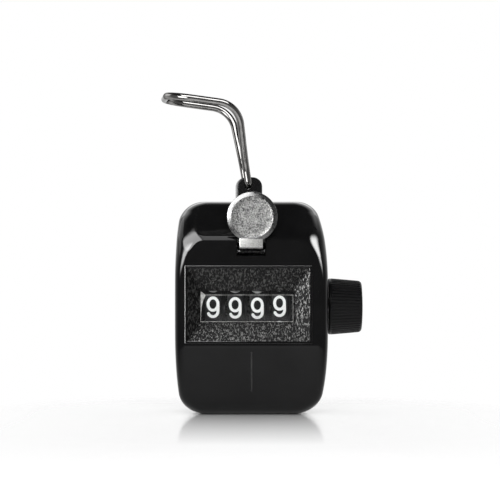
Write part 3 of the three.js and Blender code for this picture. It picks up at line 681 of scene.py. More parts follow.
def back_cover():
    """The back half of the case, with a tube and a flared well for each screw."""
    cover = half_shell("back_cover_skin", 1)
    soften_rim(cover, 1)
    places = SCREW_PLACES.values()
    tip, root, radius, outside_case = 6.1, 13.2, 2.9, 16
    tubes = [cylinder("tube", "y", tip, root, radius, place, 40) for place in places]
    boolean(cover, tubes, "UNION")
    holes = [cylinder("hole", "y", 5, outside_case, SHANK_ROOM, place, 32) for place in places]
    wells = [cylinder("well", "y", SCREW_SEAT, outside_case, HEAD_ROOM, place) for place in places]
    mouth, over, wide = BACK - 0.25, BACK + 0.35, HEAD_ROOM + 0.6
    flares = [cylinder("flare", "y", mouth, over, HEAD_ROOM, place, end_radius=wide) for place in places]
    boolean(cover, [*holes, *wells, *flares, axle_notch(), post_notch()])
    clean(cover)
    even_normals(cover)
    return finish_piece(cover, MATERIALS["case"], "case", "black_gloss_abs", "back_cover")


def case_screw(place):
    """A pan-head screw with a cross recess."""
    x, z = SCREW_PLACES[place]
    shank, head, edge, crown = 1.0, 2.0, SCREW_SEAT + 0.75, 0.55
    under = SCREW_SEAT + 0.1
    profile = [(-3.5, 0.05), (-3.2, 0.7), (-2.4, shank), (under, shank), (under, head), (edge, head)]
    dome = arc((0.1, edge), (head - 0.1, crown), 0, 90, 8)[1:-1]
    profile += [(y, radius) for radius, y in dome]
    screw = to_object(f"case_screw_{place}_detail", *lathe("y", profile, (x, z), 40))
    arms = [(1.1, 0.28), (0.28, 1.1)]
    bottom, top = SCREW_SEAT + 0.5, SCREW_SEAT + 3
    cutters = [block("cross", x - a, x + a, bottom, top, z - b, z + b) for a, b in arms]
    boolean(screw, cutters)
    clean(screw, 35)
    return finish_piece(screw, MATERIALS["zinc"], "case", "zinc_plated_steel", f"case_screw_{place}")


# ------------------------------------------------------------------ window

APERTURE = (-14.8, 12.1, 27.0, 36.1)
LIP = 0.75
APERTURE_DEPTH = 2.5


def rectangle(limits, y, counts):
    """Points round a rectangle. Their number on each side is given, so that corners line up."""
    x0, x1, z0, z1 = limits
    corners = [(x0, z0), (x1, z0), (x1, z1), (x0, z1)]
    points = []
    for side in range(4):
        (xa, za), (xb, zb) = corners[side], corners[(side + 1) % 4]
        steps = counts[side % 2]
        points += [(xa + (xb - xa) * k / steps, y, za + (zb - za) * k / steps) for k in range(steps)]
    return points


def grown(limits, by):
    """A rectangle's limits, moved outwards on every side."""
    x0, x1, z0, z1 = limits
    return x0 - by, x1 + by, z0 - by, z1 + by


def pebble(x, z):
    """Height of the moulded grain at a point, about -1 to 1: cells drawn out along a slant."""
    cosine, sine, narrower, cell_size, fine_size = 0.8, 0.6, 1.7, 0.85, 0.4
    slant = Vector((x * cosine + z * sine, (z * cosine - x * sine) * narrower, 3.1))
    nearest, second = noise.voronoi(slant / cell_size)[0][:2]
    return (second - nearest) * 1.8 - 0.6 + 0.35 * noise.noise(slant / fine_size)


def grained(ring, depth):
    """A ring with the moulded grain raised on it."""
    return [(x, y + depth * min(1.0, max(-1.0, -pebble(x, z))), z) for x, y, z in ring]


def window_bezel():
    """The textured insert: a raised lip, four grained facets sloping in, and the throat round the lens."""
    low, high = in_mm(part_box("window_bezel"))
    outer = (low.x, high.x, low.z, high.z)
    front, back, skin = low.y, high.y, -FRONT - 0.02
    counts, facet_steps, grain_depth, throat = (190, 112), 30, 0.09, 0.05
    lip = [(0.35, back), (0.35, skin), (0.02, skin), (0.0, skin - 0.03), (0.0, front + 0.14),
           (0.04, front + 0.05), (0.13, front), (LIP - 0.14, front), (LIP - 0.04, front + 0.04),
           (LIP, front + 0.12)]
    rings = [rectangle(grown(outer, -margin), y, counts) for margin, y in lip]
    facet_start, facet_end = front + 0.12, -FRONT + APERTURE_DEPTH
    for step in range(1, facet_steps):
        share = step / facet_steps
        limits = [a + (b - a) * share for a, b in zip(grown(outer, -LIP), APERTURE)]
        fade = min(1.0, step / 2, (facet_steps - step) / 2)
        ring = rectangle(limits, facet_start + (facet_end - facet_start) * share, counts)
        rings.append(grained(ring, grain_depth * fade))
    rings.append(rectangle(APERTURE, facet_end, counts))
    rings += [rectangle(grown(APERTURE, -throat), y, counts) for y in (facet_end + 0.08, back)]
    bezel = to_object("window_bezel_grained", *loft(rings, joined=True), sharp_degrees=28)
    skins = [MATERIALS["bezel"], MATERIALS["case"], MATERIALS["painted_highlight"]]
    # the lip's outer band takes the lighter grey: a painted highlight along the bezel's edge
    painted_highlight_width, smooth_width = 0.13, LIP - 0.03
    finish_piece(bezel, skins, "case", "textured_abs", "window_bezel")
    for face in bezel.data.polygons:
        x, _, z = face.center / MM
        edge = min(x - outer[0], outer[1] - x, z - outer[2], outer[3] - z)
        face.material_index = 2 if edge < painted_highlight_width else 1 if edge < smooth_width else 0
    return bezel


def window_lens():
    """The clear pane: a wide clear bevel along its top, and narrow frosted ones round the rest."""
    low, high = in_mm(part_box("window_lens"))
    outer = (low.x, high.x, low.z, high.z)
    width, height = high.x - low.x, high.z - low.z
    steps = (24, 10)
    over, under, at_right, left_low, left_high = 1.15, 0.14, 0.1, 0.1, 1.5
    side_depth, lean = 0.3, 0.24

    def front_ring(y, grow):
        """The outline of the pane's face, which draws in from the left towards its top."""
        right, bottom, top = high.x - at_right + grow, low.z + under - grow, high.z - over + grow
        ring = []
        for x, _, z in rectangle(outer, y, steps):
            across, rise = (x - low.x) / width, (z - low.z) / height
            left = low.x + left_low + (left_high - left_low) * rise ** 3 - grow
            ring.append((left + (right - left) * across, y, bottom + (top - bottom) * rise))
        return ring

    sides = [(x, y - lean * (z - low.z) / height * (x > low.x + 1.0), z)
             for x, y, z in rectangle(outer, low.y + side_depth, steps)]
    rings = [rectangle(outer, high.y, steps), sides, front_ring(low.y + 0.02, 0.1), front_ring(low.y, 0.0)]
    lens = to_object("window_lens_pane", *loft(rings), sharp_degrees=12)
    finish_piece(lens, [MATERIALS["lens"], MATERIALS["lens_edge"]], "case", "clear_lens", "window_lens")
    for face in lens.data.polygons:
        middle = face.center / MM
        front_face = face.normal.y < -0.99
        top_bevel = middle.z > high.z - over + 0.1 and face.normal.z > abs(face.normal.x)
        face.material_index = 0 if front_face or top_bevel or face.normal.y > 0.5 else 1
    return lens


# ------------------------------------------------------------------ number wheels

RADIUS = 12.0
BORE = 2.52
RATCHET_WIDTH = 1.2
TOOTH = ((8.2, 0.06), (8.2, 0.3), (8.9, 0.62), (9.6, 0.94), (9.6, 1.0))  # radius, share of the pitch
STROKE = 0.42  # half the width of a figure's stroke
SUNK, RAISED = -0.03, 0.035  # how far a figure reaches below and above the rim
LOOP = (1.44, 1.8)  # half width and half height of a round figure's loop
FIGURE_TURN = {"thousands": 0.9, "hundreds": 0.0, "tens": -0.6, "units": 2.3}  # degrees off level


def loop(centre, radii, steps=32):
    """A closed stroke round an ellipse."""
    return arc(centre, radii, 0, 360, steps)[:-1], True


def figure_strokes(digit):
    """Strokes of a figure as (points, closed), centred on the origin, in a plain rounded letterform."""
    top, side = 2.75, LOOP[0]
    upper_bowl = arc((-0.1, 1.4), (1.45, 1.35), 155, -80, 20)
    lower_bowl = arc((-0.1, -1.28), (1.6, 1.47), 85, -155, 22)
    wide_bowl = arc((-0.1, -0.95), (1.6, 1.8), 128, -150, 24)
    return {
        0: [loop((0, 0), (side, top), 40)],
        1: [([(-1.0, 1.75), (0.25, top), (0.25, -top)], False)],
        2: [(arc((0, 1.25), (1.5, 1.5), 160, -20, 18) + [(-1.4, -top), (1.6, -top)], False)],
        3: [(upper_bowl, False), (lower_bowl, False)],
        4: [([(0.75, -top), (0.75, top), (-1.6, -1.05), (1.7, -1.05)], False)],
        5: [([(1.35, top), (-1.05, top), (-1.3, 0.35)] + wide_bowl, False)],
        6: [loop((0, -0.9), LOOP), ([(-side, -0.9)] + arc((0, 1.2), (side, 1.55), 180, 25, 16), False)],
        7: [([(-1.6, top), (1.55, top), (-0.45, -top)], False)],
        8: [loop((0, 1.45), (1.32, 1.3), 30), loop((0, -1.3), (1.55, 1.45))],
        9: [loop((0, 0.9), LOOP), ([(side, 0.9)] + arc((0, -1.2), (side, 1.55), 0, -155, 16), False)],
    }[digit]


def ribbon(points, closed, half, low, high):
    """A flat stroke of even width along a line, with round ends, from height low to high."""
    line = [Vector(point) for point in points]
    count = len(line)
    left, right = [], []
    for k, point in enumerate(line):
        before = line[(k - 1) % count] if closed or k > 0 else None
        after = line[(k + 1) % count] if closed or k < count - 1 else None
        into = (point - before).normalized() if before is not None else (after - point).normalized()
        out = (after - point).normalized() if after is not None else into
        mean = (into + out).normalized()
        normal = Vector((-mean.y, mean.x))
        widen = min(1.6, 1 / max(0.3, normal.dot(Vector((-into.y, into.x)))))
        left.append(point + normal * half * widen)
        right.append(point - normal * half * widen)
    if closed:
        rings = [[(*b, low), (*a, low), (*a, high), (*b, high)] for a, b in zip(left, right)]
        return loft(rings, joined=True)
    outline = []
    for edge, tip, inner in ((left, line[-1], line[-2]), (reversed(right), line[0], line[1])):
        ahead = (tip - inner).normalized()
        outline += [*edge, *(tip + rotated(ahead, 90 - 180 * k / 8) * half for k in range(1, 8))]
    return loft([stand(outline, "z", height) for height in (low, high)])


def rotated(vector, degrees):
    """A flat vector, turned."""
    sine, cosine = math.sin(math.radians(degrees)), math.cos(math.radians(degrees))
    return Vector((vector.x * cosine - vector.y * sine, vector.x * sine + vector.y * cosine))


def flat_figure(digit):
    """A figure as one flat solid: u across, v up, height in z."""
    solids = [to_object(f"figure_{digit}_{k}", *ribbon(points, closed, STROKE, SUNK, RAISED))
              for k, (points, closed) in enumerate(figure_strokes(digit))]
    figure = solids[0]
    boolean(figure, solids[1:], "UNION")
    work = bmesh.new()
    work.from_mesh(figure.data)
    strip = 0.45  # it is cut into strips, so that it can bend round the rim
    for k in range(-7, 8):
        plane = Vector((0, k * strip * MM, 0))
        geometry = work.verts[:] + work.edges[:] + work.faces[:]
        bmesh.ops.bisect_plane(work, geom=geometry, plane_co=plane, plane_no=(0, 1, 0), dist=1e-7)
    bmesh.ops.triangulate(work, faces=work.faces)
    work.to_mesh(figure.data)
    work.free()
    return figure


def figures_on_wheel(name, flat_figures, centre_x, phase_degrees):
    """The ten figures wrapped round a rim. The wheel shows 9, and 0 comes up next from below."""
    placed = []
    for digit, flat in enumerate(flat_figures):
        middle = math.radians(phase_degrees - 36 * ((digit - 9) % 10))
        mesh = flat.data.copy()
        for vertex in mesh.vertices:
            u, v, height = vertex.co
            angle = middle + v / (RADIUS * MM)
            radius = RADIUS * MM + height
            vertex.co = (centre_x * MM + u, -radius * math.cos(angle), AXLE_Z * MM + radius * math.sin(angle))
        placed.append(add_object("wrapped", mesh))
    figures = join(placed, name)
    clean(figures, 40)
    return figures


def number_wheel(place, flat_figures):
    """A drum with softened rims, a recess for its reset pawl, and ten ratchet teeth on its right side."""
    low, high = in_mm(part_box("number_wheel_" + place))
    left, right = low.x, high.x - RATCHET_WIDTH
    soft, softer, hub, band = 0.22, 0.066, 2.6, 1.2
    recess, recess_low, recess_high = left + 2.6, 4.2, 10.4
    profile = [
        (left + 0.05, BORE), (left, hub), (left, recess_low), (recess, recess_low), (recess, recess_high),
        (left, recess_high), (left, RADIUS - soft), (left + softer, RADIUS - softer), (left + soft, RADIUS),
        (left + band, RADIUS), (right - band, RADIUS), (right - soft, RADIUS),
        (right - softer, RADIUS - softer), (right, RADIUS - soft), (right, hub), (right - 0.05, BORE)]
    drum = to_object("drum_" + place, *lathe("x", profile, (0, AXLE_Z), 96, closed=True), sharp_degrees=40)
    wheel = join([drum, ratchet_teeth(place, right - 0.2, high.x)], f"number_wheel_{place}_drum")
    clean(wheel, 38)
    finish_piece(wheel, MATERIALS["wheel"], "wheel_" + place, "wheel_black", "number_wheel_" + place)
    figures = figures_on_wheel("figures_" + place, flat_figures, (left + right) / 2, FIGURE_TURN[place])
    finish_piece(figures, MATERIALS["digit"], "wheel_" + place, "digit_white")


def ratchet_teeth(place, left, right):
    """The ten saw teeth that the drive pawl and the detent work on."""
    phase, pitch = 14 - math.degrees(0.06), 36
    ring = []
    for tooth in range(10):
        for radius, part in TOOTH:
            angle = math.radians(phase + (tooth + part) * pitch)
            ring.append((radius * math.cos(angle), AXLE_Z + radius * math.sin(angle)))
    hub = arc((0, AXLE_Z), (BORE, BORE), phase, phase + 360, len(ring))[:-1]
    sections = [(ring, left), (ring, right), (hub, right), (hub, left)]
    rings = [stand(outline, "x", x) for outline, x in sections]
    return to_object("teeth_" + place, *loft(rings, joined=True))


# ------------------------------------------------------------------ reset knob

def reset_knob():
    """A tapered knob with a narrow plain rim, fine ribs along it and a slightly domed end."""
    low, high = in_mm(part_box("reset_knob"))
    left, right = low.x, high.x
    base, end = (high.z - low.z) / 2, 7.6
    bore, bore_depth = 2.51, 6.5
    ribs, samples, depth = 52, 8, 0.2
    dome, round_edge = 0.3, 1.05
    profile = [(left, base - 0.4, 0), (left + 0.03, base - 0.24, 0), (left + 0.12, base - 0.1, 0),
               (left + 0.25, base - 0.02, 0), (left + 0.7, base - 0.01, 0), (left + 0.85, base - 0.01, 0.6)]
    start, stop, tip = left + 1.0, right - 1.5, right - dome
    for k in range(13):
        share = k / 12
        profile.append((start + (stop - start) * share, base + (end - base) * share ** 1.1, 1))
    for k in range(1, 9):
        angle = math.pi / 2 * k / 8
        x = stop + (tip - stop) * math.sin(angle)
        profile.append((x, end - round_edge * (1 - math.cos(angle)), max(0.0, 1 - k / 6)))
    for radius in (5.4, 3.9, 2.2, 0.6, 0.02):
        profile.append((right - dome * (radius / (end - round_edge)) ** 2, radius, 0))
    segments = ribs * samples
    rings = [stand(circle((0, AXLE_Z), bore, segments), "x", x) for x in (left + bore_depth, left)]
    for x, radius, ribbed in profile:
        ring = []
        for k in range(segments):
            angle = 2 * math.pi * k / segments
            r = radius - depth * ribbed * abs(math.sin(ribs * angle / 2)) ** 3
            ring.append((x, r * math.cos(angle), AXLE_Z + r * math.sin(angle)))
        rings.append(ring)
    knob = to_object("reset_knob_ribbed", *loft(rings), sharp_degrees=50)
    return finish_piece(knob, MATERIALS["knob"], "reset_spindle", "black_gloss_abs", "reset_knob")


# ------------------------------------------------------------------ thumb lever

LEVER_LOW, LEVER_HIGH = in_mm(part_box("thumb_lever"))
SHEET = 1.2  # thickness of the steel
LEVER_FRONT, LEVER_BACK = LEVER_LOW.y, LEVER_LOW.y + SHEET
DISC_RADIUS, PAD_RADIUS, RIM_DROP = 7.24, 6.0, 0.5
DISC_X, DISC_Z = 0.19, LEVER_HIGH.z - DISC_RADIUS
WEB = 50.0  # height of the web's underside
ARM_WIDTH, ARM_ROUND = 1.0, 2.1
PIVOT = [JOINTS["lever_press"]["pos_m"][k] / MM for k in (1, 2)]
ROD = [JOINTS["pawl_swing"]["pos_m"][k] / MM for k in (1, 2)]


def lever_disc():
    """The round head: a flat back, a sloping rim in front and the slightly sunk thumb pad."""
    front, back, edge = LEVER_FRONT, LEVER_BACK, DISC_RADIUS
    slope_start, slope_from, sunk = front + RIM_DROP, edge - 0.05, front + 0.05
    profile = [(back, 0.02), (back, edge - 0.25), (back - 0.07, edge - 0.07), (back - 0.25, edge),
               (slope_start + 0.14, edge), (slope_start + 0.02, slope_from)]
    for k in range(1, 10):
        share = k / 10
        radius = slope_from - (slope_from - PAD_RADIUS) * share
        profile.append((slope_start - RIM_DROP * share ** 0.8, radius))
    profile += [(front, PAD_RADIUS), (sunk, PAD_RADIUS - 0.12), (sunk, 4.0), (sunk, 2.0), (sunk, 0.02)]
    return to_object("lever_disc", *lathe("y", profile, (DISC_X, DISC_Z), 128), sharp_degrees=35)


def lever_tongue():
    """The strip that leaves the case through the slot and bends up into the neck."""
    left, right, bottom, top = -3.5, 3.3, 48.1, 51.4
    outer, inner = 0.9, 0.15  # radii of the bend
    path = [(-11.4, WEB), (-11.4, WEB + SHEET), (-12.7, WEB + SHEET), (-14.2, bottom + SHEET)]
    path += arc((LEVER_BACK + inner, bottom + SHEET + inner), (inner, inner), -90, -180, 8)
    path += [(LEVER_BACK, top), (LEVER_FRONT + 0.06, top), (LEVER_FRONT, top - 0.3)]
    path += arc((LEVER_FRONT + outer, bottom + outer), (outer, outer), 180, 270, 12)
    path += [(-13.9, bottom), (-12.2, WEB)]
    tongue = to_object("tongue", *loft([stand(path, "x", x) for x in (left, right)]), sharp_degrees=30)
    bevel(tongue, 0.16, 60, 3)
    return tongue


def lever_arm(x):
    """A side arm, round the pivot pin and the pawl's rod, and the ear that holds it to the web."""
    along = math.degrees(math.atan2(ROD[1] - PIVOT[1], ROD[0] - PIVOT[0]))
    outline = []
    for centre, start in ((ROD, along - 90), (PIVOT, along + 90)):
        outline += arc(centre, (ARM_ROUND, ARM_ROUND), start, start + 180, 12)
    arm = to_object("arm", *loft([stand(outline, "x", side) for side in (x, x + ARM_WIDTH)]))
    holes = [cylinder(name, "x", x - 1, x + 2, radius, centre, 32)
             for name, radius, centre in (("pin_hole", 1.06, PIVOT), ("rod_hole", 0.96, ROD))]
    boolean(arm, holes)
    ear_front, ear_back, ear_foot = -12, -9, PIVOT[1] + 1.2
    ear = block("ear", x, x + ARM_WIDTH, ear_front, ear_back, ear_foot, WEB + SHEET / 2)
    return [arm, ear]


def thumb_lever():
    """The stamped lever: arms and web inside the case, the tongue through the slot, and the round head."""
    disc, tongue = lever_disc(), lever_tongue()
    arms = lever_arm(LEVER_LOW.x) + lever_arm(LEVER_HIGH.x - ARM_WIDTH)
    web_front, web_back = -12.4, -8.6
    web = block("web", LEVER_LOW.x, LEVER_HIGH.x, web_front, web_back, WEB, WEB + SHEET)
    boolean(web, arms + [tongue], "UNION")
    lever = join([web, disc], "thumb_lever_stamped")
    clean(lever, 35)
    plates = [MATERIALS["lever"], MATERIALS["pad"], MATERIALS["neck"]]
    neck_top = 50.3
    finish_piece(lever, plates, "lever", "satin_steel", "thumb_lever")
    for face in lever.data.polygons:
        middle = face.center / MM
        off_centre = math.hypot(middle.x - DISC_X, middle.z - DISC_Z)
        on_pad = middle.y < LEVER_FRONT + 0.07 and off_centre < PAD_RADIUS - 0.02
        # the lower front of the neck takes the lighter steel, a painted highlight
        on_neck = abs(middle.y - LEVER_FRONT) < 0.1 and middle.z < neck_top and face.normal.y < -0.9
        face.material_index = 1 if on_pad else 2 if on_neck else 0
    return lever


# ------------------------------------------------------------------ ring and post

RING_PIVOT = Vector(JOINTS["ring_tilt"]["pos_m"]) / MM
RING_AXIS = Vector(JOINTS["ring_tilt"]["axis"])
WIRE = 1.04
LEAN, TURN, BEND_RADIUS = math.radians(9.4), math.radians(73), 7.5
STRAIGHT, REACH = 17.8, 42.3
END_WIDTH, END_CORNER, POST_WIDTH, WIDEN_OVER = 13.0, 7.0, 4.3, 24.0
FOOT_RADIUS = 1.4


def bent_sheet(along, across):
    """A point of the loop, `along` up the wire from the pivot and `across` from its middle."""
    bend_length = TURN * BEND_RADIUS
    straight = min(along, STRAIGHT)
    bent = min(max(along - STRAIGHT, 0.0), bend_length)
    rest = max(along - STRAIGHT - bend_length, 0.0)
    angle = LEAN + bent / BEND_RADIUS
    x = -straight * math.sin(LEAN) + BEND_RADIUS * (math.cos(angle) - math.cos(LEAN)) - rest * math.sin(angle)
    z = straight * math.cos(LEAN) + BEND_RADIUS * (math.sin(angle) - math.sin(LEAN)) + rest * math.cos(angle)
    forward = Vector((RING_AXIS.y, -RING_AXIS.x, 0))
    return RING_PIVOT + forward * x + Vector((0, 0, z)) + RING_AXIS * across


def ring_half():
    """The wire's centreline from its end in the post to the middle of the loop, on the -Y side."""
    foot = POST_WIDTH - FOOT_RADIUS
    gap = 0.6  # half the distance between the wire's two ends
    points = [bent_sheet(0, -(gap + (foot - gap) * k / 5)) for k in range(5)]
    turn = arc((FOOT_RADIUS, -foot), (-FOOT_RADIUS, -FOOT_RADIUS), 0, 90, 10)
    points += [bent_sheet(along, across) for along, across in turn]
    side = REACH - END_CORNER - FOOT_RADIUS
    steps = 70
    for k in range(1, steps):
        up = side * k / steps
        across = POST_WIDTH + (END_WIDTH - POST_WIDTH) * eased(up, 1, WIDEN_OVER)
        points.append(bent_sheet(FOOT_RADIUS + up, -across))
    corner = END_WIDTH - END_CORNER
    turn = arc((-corner, FOOT_RADIUS + side), (-END_CORNER, END_CORNER), 0, 90, 24)
    points += [bent_sheet(along, across) for across, along in turn]
    return points + [bent_sheet(REACH, -corner * (1 - k / 8)) for k in range(1, 9)]


def tube(points, radius, sides):
    """Rings of a round wire along a line, kept from twisting, with rounded ends."""
    end_round = 0.25
    line = [Vector(point) for point in points]
    before, after = [line[0], *line[:-1]], [*line[1:], line[-1]]
    tangents = [(b - a).normalized() for a, b in zip(before, after)]
    normal = tangents[0].orthogonal().normalized()
    rings = []
    for point, tangent in zip(line, tangents):
        normal = (normal - tangent * normal.dot(tangent)).normalized()
        other = tangent.cross(normal)
        rings.append([point + normal * u + other * v for u, v in circle((0, 0), radius, sides)])
    for ring, tip, tangent in ((rings[0], line[0], -tangents[0]), (rings[-1], line[-1], tangents[-1])):
        small = [tip + (p - tip) * (1 - end_round / radius) for p in ring]
        shoulder = [p - tangent * end_round for p in ring]
        if ring is rings[0]:
            rings[0:1] = [small, shoulder]
        else:
            rings[-1:] = [shoulder, small]
    return loft(rings)


def finger_ring():
    """The wire loop, one half of it a mirror image of the other."""
    half = ring_half()
    mirror = [p - RING_AXIS * 2 * (p - RING_PIVOT).dot(RING_AXIS) for p in half]
    line = half + list(reversed(mirror))[1:]
    ring = to_object("finger_ring_wire", *tube(line, WIRE, 28), sharp_degrees=50)
    return finish_piece(ring, MATERIALS["chrome"], "ring", "chrome_wire", "finger_ring")


def ring_post():
    """The swivel block that the ring's ends turn in, with its stem down into the case."""
    half_width, half_depth, bottom, top, shoulder = 3.72, 3.0, 62.3, 69.2, 2.8
    centres = half_width - shoulder
    outline = [(-half_width, bottom), (half_width, bottom)]
    for x, start in ((centres, 0), (-centres, 90)):
        outline += arc((x, top - shoulder), (shoulder, shoulder), start, start + 90, 12)
    rings = [stand(outline, "y", y) for y in (-half_depth, half_depth)]
    post = to_object("ring_post_block", *loft(rings))
    bevel(post, 0.45, 50, 4)
    stem_foot, stem_radius, core_radius = 57.4, 2.4, 1.8
    groove_low, groove_high = 58.05, 58.75  # the clip sits here
    hole_radius, hole_x = 1.14, -0.42
    boolean(post, [cylinder("stem", "z", stem_foot, bottom + 1, stem_radius, (0, 0))], "UNION")
    groove = cylinder("groove", "z", groove_low, groove_high, 5, (0, 0))
    boolean(groove, [cylinder("core", "z", 57, 60, core_radius, (0, 0))])
    hole = cylinder("hole", "y", -5, 5, hole_radius, (hole_x, RING_PIVOT.z))
    boolean(post, [groove, hole])
    yaw = math.atan2(-RING_AXIS.x, RING_AXIS.y)
    turn = Matrix.Translation((POST_X * MM, 0, 0)) @ Matrix.Rotation(yaw, 4, "Z")
    post.data.transform(turn)
    clean(post, 35)
    even_normals(post)
    return finish_piece(post, MATERIALS["post"], "post", "black_gloss_abs", "ring_post")


# ------------------------------------------------------------------ the pieces left as CAD made them

def dress(names, material):
    """Gives pieces that keep their CAD shape a material and smooth shading."""
    for name in names:
        NODES[name].data.materials.clear()
        NODES[name].data.materials.append(material)
        shade(NODES[name], 35)


def inner_pieces():
    """The works inside the case, which show only through the window and the slot."""
    dress(["chassis_frame", "tie_rod", "drive_pawl"], MATERIALS["zinc"])
    dress(["lever_pivot_pin", "reset_shaft", "pawl_rod"], MATERIALS["shaft"])
    dress(["detent_spring", "lever_return_spring", "pawl_spring", "shaft_clip", "post_washer", "post_clip"],
          MATERIALS["spring"])
    dress(["reset_pawl_" + place for place in DIGIT_WHEELS], MATERIALS["spring"])
    dress(["wheel_spacer_left", "wheel_spacer_right"], MATERIALS["wheel"])


# ------------------------------------------------------------------ studio

MIRROR_REACH = 88.0  # how far from the object the table mirrors, in millimetres
MIRROR_SHARE = 0.66  # how much of the light it mirrors at most
BACK_LIGHT = 1.1  # radiance low behind the object
FRONT_LIGHT = 0.16  # radiance in front
HIGH_LIGHT = 0.08  # radiance overhead, as a share


def outside(n, coordinate, margin_mm):
    """How far a coordinate lies beyond a margin on either side of the middle."""
    return n.math("MAXIMUM", n.math("SUBTRACT", n.math("ABSOLUTE", coordinate), margin_mm * MM))


def diagonal(n, a, b):
    """The distance made of two distances at right angles."""
    return n.math("SQRT", n.math("ADD", n.math("MULTIPLY", a, a), n.math("MULTIPLY", b, b)))


def floor():
    """A plain white table. It mirrors softly near the object and fades into the white beyond."""
    n = Surface("studio_floor")
    grain = n.noise(60.0, detail=2.0)
    white = n.add("ShaderNodeBsdfDiffuse", {"Color": n.ramp(grain, (0.88, 0.88, 0.88), (0.91, 0.91, 0.91))})
    rough = n.range(grain, 0.3, 0.7, 0.09, 0.12)
    mirror = n.add("ShaderNodeBsdfGlossy", {"Color": WHITE, "Roughness": rough})
    gone = n.add("ShaderNodeBsdfTransparent", {"Color": WHITE})
    x, y, _ = n.add("ShaderNodeSeparateXYZ", {0: n.coordinates}).outputs
    away = diagonal(n, outside(n, x, 14), outside(n, y, 8))
    near = n.range(away, 0.0, MIRROR_REACH * MM, 1.0, 0.0)
    skin = n.math("MULTIPLY", n.add("ShaderNodeFresnel", {"IOR": 1.45}).outputs[0], 1.5)
    share = n.math("MULTIPLY", n.math("MINIMUM", skin, MIRROR_SHARE), near)
    past = diagonal(n, outside(n, x, 24), n.math("MAXIMUM", y))
    fade_behind = n.range(past, 8 * MM, 60 * MM, 0.0, 1.0)
    fade_round = n.range(away, 110 * MM, 240 * MM, 0.0, 1.0)
    n.show(n.mix(n.math("MAXIMUM", fade_behind, fade_round), n.mix(share, white, mirror), gone))
    half, height = 1500, -0.02
    corners = stand([(-half, -half), (half, -half), (half, half), (-half, half)], "z", height)
    surface = to_object("studio_floor", corners, [(0, 1, 2, 3)])
    surface.data.materials.append(n.material)
    return surface


def world():
    """Even white behind the object; softer, shaped light for what its surfaces mirror."""
    scene_world = bpy.data.worlds.new("studio_world")
    bpy.context.scene.world = scene_world
    scene_world.use_nodes = True
    n = Nodes(scene_world.node_tree)
    n.tree.nodes.clear()
    direction = n.add("ShaderNodeTexCoord").outputs["Generated"]
    _, back, up = n.add("ShaderNodeSeparateXYZ", {0: direction}).outputs
    towards_back = n.range(back, -0.05, 0.8, FRONT_LIGHT, BACK_LIGHT)
    level = n.math("MULTIPLY", towards_back, n.range(up, 0.2, 0.8, 1.0, HIGH_LIGHT))
    mirrored = n.add("ShaderNodeBackground", {"Color": WHITE, "Strength": level})
    seen = n.add("ShaderNodeBackground", {"Color": WHITE, "Strength": 1.0})
    ray = n.add("ShaderNodeLightPath").outputs["Is Camera Ray"]
    output = n.add("ShaderNodeOutputWorld")
    n.set(output.inputs["Surface"], n.mix(ray, mirrored, seen).outputs[0])


def feather(light, share):
    """Fades a panel's radiance out over a share of its width and height from each edge."""
    light.use_nodes = True
    n = Nodes(light.node_tree)
    place = n.add("ShaderNodeNewGeometry").outputs["Parametric"]
    across, up, _ = n.add("ShaderNodeSeparateXYZ", {0: place}).outputs
    level = 1.0
    for axis in (across, up):
        for edge, inner in ((0.0, share), (1.0, 1.0 - share)):
            fade = n.range(axis, edge, inner, 0.0, 1.0, interpolation_type="SMOOTHSTEP")
            level = n.math("MULTIPLY", fade, level)
    n.set(n.tree.nodes["Emission"].inputs["Strength"], level)


def softbox(name, place, target, size, radiance, mirrored=True, only=(), never=(), fade=0.0, roll=0.0):
    """A rectangular panel, facing its target. It shows in reflections, or if not `mirrored` only lights.

    Its light falls only on the pieces in `only`, or on all but those in `never`."""
    light = bpy.data.lights.new(name, "AREA")
    light.shape = "RECTANGLE"
    light.size, light.size_y = (side * MM for side in size)
    light.energy = radiance * math.pi * light.size * light.size_y
    lamp = add_object(name, light)
    lamp.location = Vector(place) * MM
    facing = (Vector(target) * MM - lamp.location).to_track_quat("-Z", "Y")
    lamp.rotation_euler = (facing @ Quaternion((0, 0, 1), math.radians(roll))).to_euler()
    if fade:
        feather(light, fade)
    lamp.visible_glossy = mirrored
    lamp.visible_diffuse = not mirrored
    if only or never:
        receivers = bpy.data.collections.new(name + "_receivers")
        lamp.light_linking.receiver_collection = receivers
        for piece in only or never:
            receivers.objects.link(piece)
        for entry in receivers.collection_objects:
            entry.light_linking.link_state = "INCLUDE" if only else "EXCLUDE"


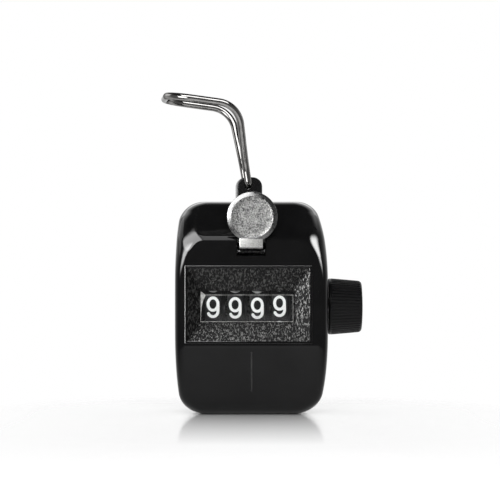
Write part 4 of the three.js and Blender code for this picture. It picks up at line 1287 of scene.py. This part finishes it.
def studio(covers, bezel, lever, ring):
    """White panels drawn as shapes in the gloss, and fills that light without showing in it.

    Those named after a piece light that piece alone, so that each can be lit as in the photo."""
    table = floor()
    world()
    left_high, left = (-255, -300, 300), (-400, -250, 147)
    softbox("cover_band", (-32, -300, 300), (-32, -300, 0), (55, 500), 3.8, only=covers)
    softbox("cover_over_left", (-282, -275, 300), (-282, -275, 0), (445, 550), 16.0, only=covers, fade=0.12)
    softbox("cover_left", (-400, -235, 210), (0, -235, 210), (290, 280), 26, only=covers, fade=0.35, roll=25)
    softbox("cover_right", (400, -120, 270), (0, -120, 270), (210, 480), 38, only=covers, fade=0.4, roll=-39)
    softbox("cover_top", (0, 430, 400), (0, 430, 0), (1000, 600), 1.8, only=covers, fade=0.3)
    softbox("bezel_over_left", left_high, (-255, -300, 0), (500, 500), 16.0, only=bezel)
    softbox("bezel_left", left, (0, -250, 147), (400, 206), 85.0, only=bezel)
    softbox("bezel_relief", (-460, -120, 220), (0, -15, 30), (250, 250), 54.0, False, only=bezel)
    softbox("ring_front_left", (-258, -369, 50), (0, 0, 80), (300, 300), 3.6, only=ring)
    softbox("ring_over_front", (0, -300, 420), (0, 0, 90), (500, 240), 4.0, only=ring)
    rest = [*covers, *bezel, *ring, table]
    softbox("panel_over_left", left_high, (-255, -300, 0), (500, 500), 5.5, never=rest)
    softbox("panel_left", left, (0, -250, 147), (400, 206), 18.0, never=rest)
    softbox("panel_right", (400, -430, 92), (0, -430, 92), (420, 98), 5.0, never=[*rest, *lever])
    softbox("panel_behind_left", (-320, 150, 230), (0, 0, 50), (260, 160), 1.2)
    softbox("panel_behind", (0, 330, 270), (0, 0, 50), (500, 120), 1.2)
    softbox("fill_front", (0, -800, 350), (0, 0, 30), (600, 600), 6.0, False, never=bezel)
    softbox("fill_over", (0, 0, 700), (0, 0, 0), (2400, 2400), 0.68, False)


def camera():
    """Level with the upper half of the case, straight in front of it."""
    eye = Vector((-0.44, -600, 50.9)) * MM
    data = bpy.data.cameras.new("camera")
    data.sensor_width = 36
    data.sensor_fit = "HORIZONTAL"
    view_width = 147.5 * MM
    data.lens = data.sensor_width * -eye.y / view_width
    data.clip_start = 0.01
    viewer = add_object("camera", data)
    viewer.location = eye
    viewer.rotation_euler = (math.pi / 2, 0, 0)
    bpy.context.scene.camera = viewer


# ------------------------------------------------------------------ build

cover_pieces = [front_cover(), weld_line(), back_cover()]
for screw_place in SCREW_PLACES:
    case_screw(screw_place)
bezel_piece = window_bezel()
window_lens()
figure_shapes = [flat_figure(figure) for figure in range(10)]
for wheel_place in DIGIT_WHEELS:
    number_wheel(wheel_place, figure_shapes)
for shape in figure_shapes:
    bpy.data.objects.remove(shape)
reset_knob()
lever_piece = thumb_lever()
ring_post()
ring_piece = finger_ring()
inner_pieces()

camera()
studio(cover_pieces, [bezel_piece], [lever_piece], [ring_piece])
bpy.context.scene.view_settings.view_transform = "Standard"
